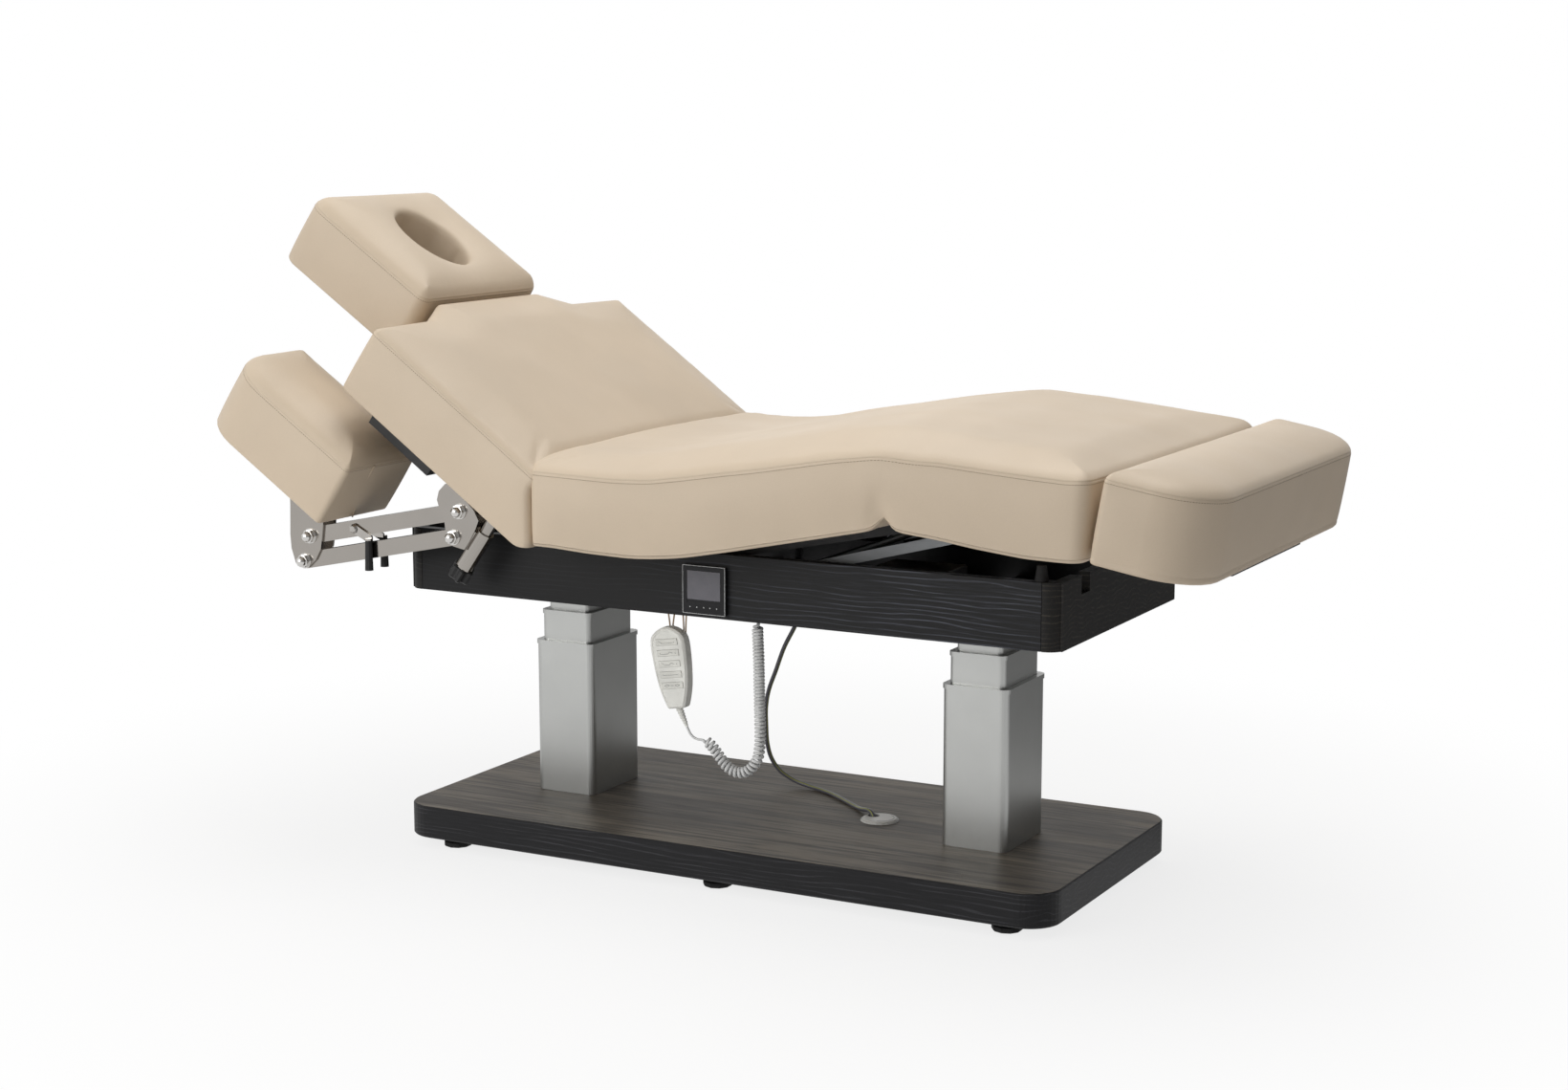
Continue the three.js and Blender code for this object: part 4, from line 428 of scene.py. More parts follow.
def turned(points, angle, origin):
    """Points of a frame that is turned by an angle about Y and moved to an origin."""
    a = math.radians(angle)
    p = np.asarray(points, float)
    x = p[:, 0] * math.cos(a) + p[:, 2] * math.sin(a)
    z = -p[:, 0] * math.sin(a) + p[:, 2] * math.cos(a)
    return np.column_stack([x, p[:, 1], z]) + np.asarray(origin, float)


def turned_frame(angle, origin, parent=None):
    """A function that takes a section's own points to the drawing, through its parent's frame."""
    def to_drawing(points):
        points = turned(points, angle, origin)
        return parent(points) if parent else points

    return to_drawing


# The table's sections as photographed, each by its angle about Y, its origin and its parent
HINGE_HEIGHT = 596
THIGH_HINGE = (-15, 0, HINGE_HEIGHT)
THIGH_ANGLE, CALF_ANGLE = 11.6, 4.8
THIGH_DECK = 438.4
ARM_LINK, ARM_LINK_ANGLE = 344.2, math.radians(11.7)
ARM_END = (84 - ARM_LINK * math.cos(ARM_LINK_ANGLE), 0, 38.3 - ARM_LINK * math.sin(ARM_LINK_ANGLE))

back_place = turned_frame(35.5, (-317, 0, HINGE_HEIGHT))
head_place = turned_frame(-1.05, (-529.2, 0, 24), back_place)
thigh_place = turned_frame(-THIGH_ANGLE, THIGH_HINGE)
KNEE = thigh_place([(THIGH_DECK, 0, 0)])[0]
calf_place = turned_frame(CALF_ANGLE, KNEE)
foot_place = turned_frame(5, (346, 0, 15), calf_place)
arm_place = turned_frame(-35.5, (-158, -345, -34), back_place)
arm_pad_place = turned_frame(34.3, ARM_END, arm_place)
hand_place = turned_frame(-8.7, (-57, -285, 327))


def inset_corners(corners, d):
    """A rounded polygon's corners, each edge moved inwards by d: where each is, the directions
    before and after it, the normal before it, its radius, and 1 where it is convex or else -1."""
    found = []
    for i, (x, y, r) in enumerate(corners):
        here = Vector((x, y))
        a = (here - Vector(corners[i - 1][:2])).normalized()
        b = (Vector(corners[(i + 1) % len(corners)][:2]) - here).normalized()
        na, nb = Vector((-a.y, a.x)), Vector((-b.y, b.x))
        moved = here + d * (na + nb) / (1 + na.dot(nb))
        convex = a.x * b.y - a.y * b.x > 0
        radius = max(r - d, 0.35 * r) if convex else r + d
        found.append((moved, a, b, na, radius, 1 if convex else -1))
    return found


def outline(corners, d=0, spacing=8, per_arc=7):
    """Points round a rounded polygon that is inset by d: the same count and order for any d."""
    arcs = []
    for where, a, b, normal, radius, side in inset_corners(corners, d):
        turn = math.acos(max(-1, min(1, a.dot(b))))
        start = where - a * (radius * math.tan(turn / 2))
        centre = start + normal * radius * side
        v = start - centre
        turns = [side * turn * k / per_arc for k in range(per_arc + 1)]
        arcs.append([(centre.x + v.x * math.cos(t) - v.y * math.sin(t),
                      centre.y + v.x * math.sin(t) + v.y * math.cos(t)) for t in turns])
    points = []
    for i, arc in enumerate(arcs):
        following = (i + 1) % len(arcs)
        steps = max(2, round(math.dist(corners[i][:2], corners[following][:2]) / spacing))
        begin, end = Vector(arc[-1]), Vector(arcs[following][0])
        points += arc + [tuple(begin.lerp(end, k / steps)) for k in range(1, steps)]
    return np.array(points)


def far_from(points, loop):
    """Each point's distance to a closed line."""
    a = loop
    b = np.roll(loop, -1, axis=0)
    found = np.full(len(points), 1e9)
    ab = b - a
    length = np.maximum((ab ** 2).sum(1), 1e-9)
    for k in range(0, len(points), 400):
        p = points[k:k + 400, None, :]
        t = np.clip(((p - a) * ab).sum(2) / length, 0, 1)
        gap = p - (a + t[..., None] * ab)
        found[k:k + 400] = np.sqrt((gap ** 2).sum(2)).min(1)
    return found


def inside(points, loop):
    """Which points lie inside a closed line."""
    x, y = points[:, 0, None], points[:, 1, None]
    ax, ay = loop[:, 0], loop[:, 1]
    bx, by = np.roll(ax, -1), np.roll(ay, -1)
    crosses = (ay > y) != (by > y)
    with np.errstate(divide="ignore", invalid="ignore"):
        at = (bx - ax) * (y - ay) / (by - ay) + ax
    return (crosses & (x < at)).sum(1) % 2 == 1


def fill(loop, spacing, hole=None):
    """Points and triangles that fill a closed line, with or without a hole."""
    low, high = loop.min(0), loop.max(0)
    xs = np.arange(low[0], high[0], spacing)
    ys = np.arange(low[1], high[1], spacing * 0.866)
    grid = np.array([(x + (spacing / 2 if j % 2 else 0), y) for j, y in enumerate(ys) for x in xs])
    grid = grid[inside(grid, loop)]
    grid = grid[far_from(grid, loop) > spacing * 0.55]
    loops = [loop]
    if hole is not None:
        grid = grid[~inside(grid, hole)]
        grid = grid[far_from(grid, hole) > spacing * 0.5]
        loops.append(hole)
    edges, first = [], 0
    for line in loops:
        edges += [(first + i, first + (i + 1) % len(line)) for i in range(len(line))]
        first += len(line)
    points = np.vstack(loops + [grid])
    made = delaunay_2d_cdt([Vector(p) for p in points], edges, [], 0, 1e-6)
    origin = [group[0] for group in made[3]]
    triangles = []
    for face in made[2]:
        middle = np.mean([made[0][i] for i in face], axis=0)[None, :]
        if not inside(middle, loop)[0] or (hole is not None and inside(middle, hole)[0]):
            continue
        ids = [origin[i] for i in face]
        area = np.cross(points[ids[1]] - points[ids[0]], points[ids[2]] - points[ids[0]])
        triangles.append(ids if area > 0 else ids[::-1])
    return points, triangles


# Upholstery

BULGE = 1.2  # how far a pad's wall stands out
UNDERSIDE_GRID = 40
CLOTH_FRAMES = 20
CLOTH = {"quality": 4, "mass": 0.3, "tension_stiffness": 18, "compression_stiffness": 18,
         "shear_stiffness": 8, "bending_stiffness": 2, "air_damping": 4, "use_pressure": True,
         "uniform_pressure_force": 4.0, "vertex_group_mass": "held", "pin_stiffness": 1}
CLOTH_VOXEL = 8.5


def pad_rows(thick, lower, bulge):
    """A pad's side as inset and height: its underside's edge, a lower seam's bead if it has one,
    the wall, and the groove and fold at its upper seam."""
    rows = [(20, 0), (9, 0), (4.6, 0.25), (2.0, 1.3), (0.6, 3.2), (0.1, 6.0)]
    if lower:
        rows += [(0.0, lower - 1.7), (0.55, lower), (0.0, lower + 1.7)]
    shares = (0.2, 0.32, 0.45, 0.58, 0.7, 0.8)
    rows += [(-bulge * math.sin(math.pi * share), thick * share) for share in shares]
    seam = [(-bulge * 0.3, -13), (-0.2, -9.0), (0.0, -6.4), (0.1, -4.4), (0.5, -3.2), (1.3, -2.5),
            (1.5, -1.9), (1.1, -0.9), (1.4, 0.4), (2.6, 1.8)]
    return rows + [(inset, thick + rise) for inset, rise in seam]


def make_top(corners, thick, crown, reach, joint, hole):
    """A function that gives a pad's height: it rolls over its free edges and stays full at a
    joint, which is the end at 0, with the free end in the joint's direction."""
    edge = outline(corners)
    free = outline([(x or joint * 2 * reach, y, r) for x, y, r in corners])

    def height(flat):
        from_edge, from_free = far_from(flat, edge), far_from(flat, free)
        roll = (1 - (1 - np.clip(from_free / reach, 0, 1)) ** 2.5) ** 0.62
        at_joint = np.clip((from_free - from_edge) / 20, 0, 1)
        dip = (0.75 - 0.5 * at_joint) * np.exp(-np.maximum(from_edge - 2.8, 0) / 5)
        high = thick + 1.5 + (crown - 1.5) * roll * (1 - dip)
        if hole:
            x, y, half_x, half_y = hole
            out = np.hypot((flat[:, 0] - x) / half_x, (flat[:, 1] - y) / half_y) - 1
            high = high - 4 * np.exp(-np.maximum(out * half_y - 9, 0) / 14)
        return high

    return height


def soft_form(corners, thick, crown, lower, reach, spacing, hole, grid, joint):
    """A pad's points and faces, the underside at height 0, and its outline."""
    top_at = make_top(corners, thick, crown, reach, joint, hole)
    rings = []
    for inset, z in pad_rows(thick, lower, BULGE):
        rings.append(at_height(outline(corners, inset, spacing), z))
    for inset in (4.4, 6.4, 9, 12.5, 17) + (() if hole else (24, 33, 44, 58)):
        ring = outline(corners, inset, spacing)
        rings.append(at_height(ring, top_at(ring)))
    rows, count = len(rings), len(rings[0])
    walls = hole_rings(hole, thick, top_at) if hole else []
    points = rings + walls
    wall_count = len(walls[0]) if hole else 0
    faces = bands(count, rows) + bands(wall_count, len(walls), rows * count)
    total = sum(len(ring) for ring in points)
    for top in (False, True):
        row = rows - 1 if top else 0
        wall = 0 if top else len(walls) - 1
        flat, triangles = fill(rings[row][:, :2], grid if top else UNDERSIDE_GRID,
                               walls[wall][:, :2] if hole else None)
        names = list(range(row * count, row * count + count))
        names += [rows * count + wall * wall_count + i for i in range(wall_count)]
        inner = flat[len(names):]
        points.append(at_height(inner, top_at(inner) if top else 0))
        names += range(total, total + len(inner))
        total += len(inner)
        for t in triangles:
            ids = [names[i] for i in t]
            faces.append(ids if top else ids[::-1])
    return np.vstack(points), faces, outline(corners, 0, spacing)


def hole_rings(hole, thick, top_at):
    """A face hole's wall, from the top's soft lip down to the underside."""
    x, y, half_x, half_y = hole
    turns = np.linspace(0, 2 * math.pi, 73)[:-1]

    def ring(out, z):
        flat = np.column_stack([x + (half_x + out) * np.cos(turns),
                                y + (half_y + out) * np.sin(turns)])
        return at_height(flat, top_at(flat) if z is None else z)

    rings = [ring(out, None) for out in (26, 20, 15, 11)]
    lip = rings[-1][:, 2]
    rings += [ring(out, lip - drop)
              for out, drop in ((7.5, 1.4), (4.5, 3.4), (2.2, 6.6), (0.7, 11), (0, 18))]
    rings += [ring(-1.5 * math.sin(math.pi * share), thick * share)
              for share in (0.75, 0.5, 0.25, 0.06)]
    return rings + [ring(out, z) for out, z in ((1.0, 2.5), (4.0, 0.4), (12, 0))]


def remeshed(name, points, faces):
    """An even copy of a pad, for the cloth."""
    cloth = link(name, new_mesh(name, points / 1000, faces))
    bpy.context.view_layer.objects.active = cloth
    cloth.select_set(True)
    remesh = cloth.modifiers.new("remesh", "REMESH")
    remesh.mode = "VOXEL"
    remesh.voxel_size = CLOTH_VOXEL / 1000
    bpy.ops.object.modifier_apply(modifier="remesh")
    return cloth


def points_of(piece):
    """A mesh's points in millimetres."""
    found = np.empty(len(piece.data.vertices) * 3)
    piece.data.vertices.foreach_get("co", found)
    return found.reshape(-1, 3) * 1000


def settle(name, points, faces, held, cap):
    """Lets a pad's cover settle under its filling as cloth, and gives how far each point moves."""
    cloth = remeshed(name + "_cloth", points, faces)
    start = points_of(cloth)
    group = cloth.vertex_groups.new(name="held")
    weights = np.round(held(start) * 10)
    for level in range(11):
        ids = np.nonzero(weights == level)[0]
        if len(ids):
            group.add([int(i) for i in ids], level / 10, "REPLACE")
    modifier = cloth.modifiers.new("cloth", "CLOTH")
    for key, value in CLOTH.items():
        setattr(modifier.settings, key, value)
    modifier.settings.effector_weights.gravity = 0
    modifier.collision_settings.use_self_collision = False
    scene = bpy.context.scene
    for step in range(1, CLOTH_FRAMES + 1):
        scene.frame_set(step)
    bpy.ops.object.modifier_apply(modifier="cloth")
    scene.frame_set(1)
    moved = np.nan_to_num(points_of(cloth) - start)
    length = np.maximum(np.linalg.norm(moved, axis=1), 1e-9)
    moved *= (np.minimum(length, cap) / length)[:, None]
    bpy.data.objects.remove(cloth)
    tree = nearest(start)
    shift = np.zeros_like(points)
    for k, p in enumerate(points):
        near = tree.find_n(p, 4)
        shares = np.array([1 / (gap + 0.5) for _, _, gap in near])
        shift[k] = (moved[[i for _, i, _ in near]] * shares[:, None]).sum(0) / shares.sum()
    print(f"{name}: {len(start)} cloth points, "
          f"farthest {np.linalg.norm(shift, axis=1).max():.1f} mm")
    return shift


def stitch_shape():
    """One stitch along X, as points and faces, for a frame whose Y points to the right."""
    turns = 2 * math.pi * np.arange(5) / 5
    rings = [np.column_stack([np.full(5, x), r * np.cos(turns), r * np.sin(turns)])
             for x, r in ((-1.8, 0.12), (-1.2, 0.42), (1.2, 0.42), (1.8, 0.12))]
    points, faces = ring_body(rings, closed=False)
    return points, [f[::-1] for f in faces]


STITCH_POINTS, STITCH_FACES = stitch_shape()
STITCH_PITCH = 4.8
STITCH_DROP = 6.6  # how far a row of stitches lies below its pad's seam


def along_line(line, pitch):
    """Evenly spaced places on a closed line, each with its direction."""
    points = np.vstack([line, line[:1]])
    steps = np.linalg.norm(np.diff(points, axis=0), axis=1)
    total = np.concatenate([[0], np.cumsum(steps)])
    count = int(total[-1] // pitch)
    places = (np.arange(count) + 0.5) * total[-1] / count
    spots, ahead = (np.column_stack([np.interp(at, total, column) for column in points.T])
                    for at in (places, places + 1))
    way = ahead - spots
    return spots, way / np.maximum(np.linalg.norm(way, axis=1), 1e-9)[:, None]


def stitches(line, height):
    """A row of stitches along a closed line at one height."""
    along, right, up = STITCH_POINTS.T
    bodies = []
    for (x, y), (dx, dy) in zip(*along_line(line, STITCH_PITCH)):
        points = np.column_stack([x + along * dx + right * dy, y + along * dy - right * dx,
                                  height + up])
        bodies.append((points, STITCH_FACES))
    return merged(bodies)


def crumple(points, thick, edge):
    """The small unevenness of a stretched top: broad over it, puckered next to its seam."""
    gap = far_from(points[:, :2], edge)
    shift = np.zeros_like(points)
    top = (points[:, 2] - thick * 0.9) / (thick * 0.1)
    for k in np.nonzero(top > 0.5)[0]:
        broad = 0.7 * noise.noise(Vector(points[k]) / 95.0)
        pucker = noise.noise(Vector((points[k][0] / 9.0, points[k][1] / 9.0, 3.3)))
        shift[k, 2] = broad * min(1, gap[k] / 20) + 0.3 * pucker * math.exp(-gap[k] / 10.0)
    return shift


def cushion(name, corners, thick, crown, to_table, replaced, lower=12, hole=None, reach=120,
            cap=5.0, spacing=8, shaped=None, extra=None, grid=15, joint=0):
    """One upholstered piece with its seams and stitches."""
    points, faces, edge = soft_form(corners, thick, crown, lower, reach, spacing, hole, grid, joint)

    def held(p):
        seam = np.hypot(far_from(p[:, :2], edge), p[:, 2] - thick)
        low = np.clip(1 - (p[:, 2] - 2) / 12, 0, 1)
        return np.clip(np.maximum(low, 1 - (seam - 7) / 16), 0, 1)

    moved = settle(name, points, faces, held, cap) + crumple(points, thick, edge)
    seam_points, seam_faces = stitches(edge, thick - STITCH_DROP)
    tree = nearest(points)
    each = len(STITCH_POINTS)
    for k in range(0, len(seam_points), each):
        near = tree.find_n(seam_points[k:k + each].mean(0), 2)
        seam_points[k:k + each] += np.mean([moved[i] for _, i, _ in near], axis=0)
    bodies = [(points + moved, faces), (seam_points, seam_faces)] + ([extra] if extra else [])
    made, all_faces = merged(bodies)
    if shaped:
        made = shaped(made)
    indices = [int(k == 1) for k, (_, part) in enumerate(bodies) for _ in part]
    piece = new_object(name, to_table(made), all_faces, [tan, painted_shade_thread], indices)
    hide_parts(*replaced)
    return piece


def smooth_curve(knots):
    """A smoothed line through knots, as a function."""
    xs, ys = np.array(knots, float).T
    dense = np.linspace(xs[0] - 60, xs[-1] + 60, 900)
    width = int(26 / (dense[1] - dense[0]))
    kernel = np.hanning(2 * width + 1)
    padded = np.pad(np.interp(dense, xs, ys), width, mode="edge")
    values = np.convolve(padded, kernel / kernel.sum(), mode="valid")
    return lambda x: np.interp(x, dense, values)


def ease(share):
    """0 to 1 with a soft start and end."""
    s = np.clip(share, 0, 1)
    return s * s * (3 - 2 * s)


HALF_WIDTH = 414
SEAT_LENGTH, THIGH_LENGTH, CALF_LENGTH = 269.0, 426.0, 349.0
LEG_LENGTH = SEAT_LENGTH + THIGH_LENGTH + CALF_LENGTH
LEG_THICK = 127.0
LEG_START = (-284, 611)


def leg_path():
    """The long cushion's underside: its place and slope, and the lean of the cushion above it."""
    s = np.linspace(-40, LEG_LENGTH + 40, 1200)
    fold, knee = SEAT_LENGTH, SEAT_LENGTH + THIGH_LENGTH
    bend = THIGH_ANGLE + CALF_ANGLE
    rise = THIGH_ANGLE * ease((s - fold) / 150 + 0.5)
    slope = rise - bend * ease((s - knee) / 40 + 0.5)
    lean = rise - bend * ease((s - knee) / 150 + 0.5)
    x, z = (np.cumsum(way(np.radians(slope))) * (s[1] - s[0]) for way in (np.cos, np.sin))
    start_x, start_z = LEG_START
    return s, x + start_x - np.interp(0, s, x), z + start_z - np.interp(0, s, z), lean


LEG_PATH = leg_path()

# How far the lower edge, the upper seam and the crest stand above a plain bent cushion
EDGE_LIFT = smooth_curve([(0, 7), (41, 7), (119, 2), (197, 0), (264, 2), (315, 1), (402, 0),
                          (669, 1), (790, -1), (860, -5), (945, -7), (1010, -3), (1057, 2)])
SEAM_LIFT = smooth_curve([(0, 14), (85, 12), (173, 10), (226, 12), (300, 13), (403, 9), (479, 5),
                          (625, 1), (684, -4), (736, -5), (779, -1), (876, 0), (939, 1), (1010, 3),
                          (1044, 8)])
CREST_LIFT = smooth_curve([(0, 4), (120, 8), (260, 22), (420, 27), (600, 24), (760, 18), (900, 11),
                           (1000, 4), (1044, 0)])


def leg_place(points):
    """From along, across and above the long cushion's underside to the drawing."""
    s, xs, zs, leans = LEG_PATH
    along, across, height = points.T
    out = np.abs(across) / HALF_WIDTH
    low = np.clip(1 - height / LEG_THICK, 0, 1)
    lift = EDGE_LIFT(along) * low * ease((out - 0.8) / 0.2)
    seam = np.clip(height / LEG_THICK, 0, 1) * (0.55 + 0.45 * ease((out - 0.5) / 0.5))
    lift = lift + SEAM_LIFT(along) * seam

    # Under the knee the edge is notched, and beside it the cover is drawn in and wrinkled
    knee = along - (SEAT_LENGTH + THIGH_LENGTH)
    at_side = ease((out - 0.9) / 0.08)
    notch = 20 * np.exp(-(np.abs(knee) / 13) ** 1.5) * np.clip(1 - height / 46, 0, 1) ** 1.4
    notch = notch * ease((out - 0.55) / 0.35)
    pull = 8.0 * np.exp(-(knee / 14) ** 2) * np.clip(1 - height / 90, 0, 1) ** 1.2
    wrinkle = np.exp(-((knee + 26 - height * 0.35) / 9) ** 2 - ((height - 30) / 26) ** 2)
    drawn_in = (pull + 4.0 * wrinkle) * at_side

    # The top is crowned, and fuller at the seat's end
    top = np.clip((height - LEG_THICK) / 8, 0, 1)
    swell = 15 * np.exp(-(along / 85) ** 2) * np.clip(1 - out ** 2, 0, 1) ** 1.3
    crest = top * (swell + CREST_LIFT(along) * np.clip(1 - out ** 4, 0, 1))
    high = height + lift + notch + crest
    lean = np.radians(np.interp(along, s, leans))
    x = np.interp(along, s, xs) - np.sin(lean) * high
    z = np.interp(along, s, zs) + np.cos(lean) * high
    return np.column_stack([x, across - np.sign(across) * drawn_in, z])


def cut_in_two(piece, name, point, normal):
    """Cuts a piece by a plane in two, keeping the shading of the whole on both sides."""
    bm = bmesh.new()
    bm.from_mesh(piece.data)
    layer = bm.verts.layers.float_vector.new("whole_normal")
    bm.normal_update()
    for v in bm.verts:
        v[layer] = v.normal
    geometry = bm.verts[:] + bm.edges[:] + bm.faces[:]
    bmesh.ops.bisect_plane(bm, geom=geometry, plane_co=point, plane_no=normal, dist=1e-6)
    made = []
    for side, part_name in ((1, piece.name), (-1, name)):
        part = bm.copy()
        beyond = [f for f in part.faces if side * (f.calc_center_median() - point).dot(normal) > 0]
        bmesh.ops.delete(part, geom=beyond, context="FACES")
        layer = part.verts.layers.float_vector["whole_normal"]
        normals = [tuple(v[layer].normalized() if v[layer].length > 0 else v.normal)
                   for v in part.verts]
        mesh = bpy.data.meshes.new(part_name)
        part.to_mesh(mesh)
        for material in piece.data.materials:
            mesh.materials.append(material)
        mesh.normals_split_custom_set_from_vertices(normals)
        made.append(mesh)
        part.free()
    bm.free()
    piece.data = made[0]
    return link(name, made[1])


def blend_over(piece, points):
    """Bakes a cover's place into its points. The line of two points of the drawing that it is given
    is worked out but not used.
    """
    start, end = (tuple(p) for p in place(points))
    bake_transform(piece)
    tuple(start)
    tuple(end)


def make_leg_cushions():
    """One long cover from the seat to the calves, cut at mid-thigh so that each half bends once."""
    corners = [(0, -HALF_WIDTH, 16), (LEG_LENGTH, -HALF_WIDTH, 24), (LEG_LENGTH, HALF_WIDTH, 24),
               (0, HALF_WIDTH, 16)]
    seat = cushion("leg_rest_cushion", corners, LEG_THICK, 22, leg_place, lower=7, cap=4.5,
                   grid=18, joint=-1, reach=95,
                   replaced=("seat_cushion", "thigh_cushion", "calf_cushion"))
    mid_thigh = Vector(place(thigh_place([(210, 0, 60)]))[0])
    slope = math.radians(THIGH_ANGLE)
    calf = cut_in_two(seat, "calf_cushion_cover", mid_thigh,
                      Vector((math.cos(slope), 0, math.sin(slope))))
    seat.name = "seat_cushion_cover"
    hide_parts("calf_cushion")
    fold = [(-90, 0, 60), (90, 0, 60)]
    blend_over(seat, turned(fold, -THIGH_ANGLE / 2, THIGH_HINGE))
    blend_over(calf,
               turned(fold, (CALF_ANGLE - THIGH_ANGLE) / 2, KNEE))


BACK_THICK = 131
BACK_ON_FRAME = 15
DECK_HEIGHT, DECK_SOFTNESS = 614.0, 3.0
UPRIGHT_REACH, UPRIGHT_SHIFT, UPRIGHT_SLOPE = 230, 27.6, 0.713
TUCK_FROM, TUCK_OVER, TUCK_DEPTH = 95, 40, 24


def tucked(points):
    """Stands the back's end at the seat upright, with its top tucked in against the seat."""
    share = np.clip(1 + points[:, 0] / UPRIGHT_REACH, 0, 1)
    tuck = ease((points[:, 2] - TUCK_FROM) / TUCK_OVER)
    shift = (UPRIGHT_SHIFT - UPRIGHT_SLOPE * points[:, 2] + TUCK_DEPTH * tuck) * share
    return points + np.column_stack([shift, np.zeros(len(points)), -2 * tuck * share ** 2])


def on_back_frame(points):
    """The back's place, with its lowest corner flattened on the seat's deck."""
    placed = back_place(points + (0, 0, BACK_ON_FRAME))
    over = (placed[:, 2] - DECK_HEIGHT) / DECK_SOFTNESS
    rise = np.maximum(over, 0) + np.log1p(np.exp(-np.abs(over)))
    placed[:, 2] = DECK_HEIGHT + DECK_SOFTNESS * rise
    return placed


def make_back_cushion():
    """The back's cushion, with a narrower tab towards the head rest."""
    corners = [(0, -HALF_WIDTH, 14), (0, HALF_WIDTH, 14), (-466, HALF_WIDTH, 14), (-470, 240, 30),
               (-511, 160, 18), (-511, -160, 18), (-470, -240, 30), (-466, -HALF_WIDTH, 14)]
    back = cushion("backrest_cushion", corners, BACK_THICK, 22, on_back_frame, lower=0,
                   replaced=("back_cushion",), shaped=tucked, grid=16, joint=1, reach=95)
    blend_over(back,
               back_place([(10, 0, BACK_ON_FRAME), (-190, 0, BACK_ON_FRAME)]))


def make_small_cushions():
    """The head, foot and arm cushions."""
    corners = [(9, -193, 20), (9, 193, 20), (-310, 193, 38), (-310, -193, 38)]
    head = cushion("head_rest_cushion", corners, 127, 30, head_place, hole=(-145, 0, 86, 65),
                   lower=0, replaced=("head_cushion",), reach=80, spacing=7, grid=11)
    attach(head, "headrest")
    corners = [(0, -HALF_WIDTH, 12), (184, -HALF_WIDTH, 100), (184, HALF_WIDTH, 100),
               (0, HALF_WIDTH, 12)]
    foot = cushion("foot_rest_cushion", corners, 140, 21, foot_place, replaced=("foot_cushion",),
                   reach=75, spacing=7, grid=13)
    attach(foot, "foot_rest")
    corners = [(0, -105, 10), (0, 106, 10), (-328, 106, 22), (-326, -105, 88)]
    arm = cushion("arm_rest_cushion", corners, 128, 27, arm_pad_place, lower=0,
                  replaced=("arm_cushion",), reach=60, spacing=6, grid=11, extra=end_piping())
    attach(arm, "arm_rest")


def end_piping():
    """The bead down the arm cushion's square end."""
    shares = np.linspace(0, 1, 24)
    line = np.column_stack([np.ones(24), -4 - 22 * np.sin(math.pi * shares / 1.6),
                            3 + 123 * shares])
    return tube_points(line, 1.5, 8)


# Cords

CORD_Y = -286
LEAD = np.array([(-41.26, 1, 294.3), (-39.1, 1, 289.8), (-35.2, 1, 283), (-29.5, 1.2, 277),
                 (-21, 1.8, 273.4), (-12, 2.2, 272.8)])
COIL = np.array([(-11.7, 2.2, 272.8), (-4, 2.4, 272.3), (6, 3, 266), (19, 4.5, 251),
                 (34, 6.5, 232), (50, 10, 221), (66, 14, 220), (80, 18, 229), (89, 22, 244),
                 (92, 25, 262), (92, 28, 290), (90, 30, 330), (88, 32, 380), (86, 33.5, 430),
                 (84, 34, 470), (84, 34, 490.7)])
CABLE = [(4, 100, 490.7), (3, 100, 478), (-2, 100, 462), (-14, 100, 437), (-30, 100, 405),
         (-50, 100, 368), (-69, 101, 320), (-86, 104, 279), (-94, 108, 245), (-97, 114, 210),
         (-98, 121, 170), (-94, 130, 140), (-82, 141, 115), (-58, 150, 97), (-25, 151, 88.5),
         (10, 141, 86.2), (48, 119, 86.2), (90, 87, 86.2), (126, 59, 86.2), (148, 40, 89.5),
         (162, 30, 92.5), (174, 22, 90.8), (181.5, 17, 82), (183.5, 16, 70), (184, 15, 48)]


def rounded_line(points, count):
    """A centripetal curve through points, evenly sampled, and its length."""
    p = np.asarray(points, float)
    p = np.vstack([2 * p[0] - p[1], p, 2 * p[-1] - p[-2]])
    knots = np.cumsum([0, *np.linalg.norm(np.diff(p, axis=0), axis=1) ** 0.5])

    def between(i, j, t, a, b):
        share = (t - knots[i]) / (knots[j] - knots[i])
        return (1 - share) * a + share * b

    found = []
    for i in range(1, len(p) - 2):
        for t in np.linspace(knots[i], knots[i + 1], 40, endpoint=False):
            a = [between(k, k + 1, t, p[k], p[k + 1]) for k in (i - 1, i, i + 1)]
            b = [between(i - 1, i + 1, t, a[0], a[1]), between(i, i + 2, t, a[1], a[2])]
            found.append(between(i, i + 1, t, *b))
    found = np.array([*found, p[-2]])
    steps = np.cumsum([0, *np.linalg.norm(np.diff(found, axis=0), axis=1)])
    places = np.linspace(0, steps[-1], count)
    return np.column_stack([np.interp(places, steps, column) for column in found.T]), steps[-1]


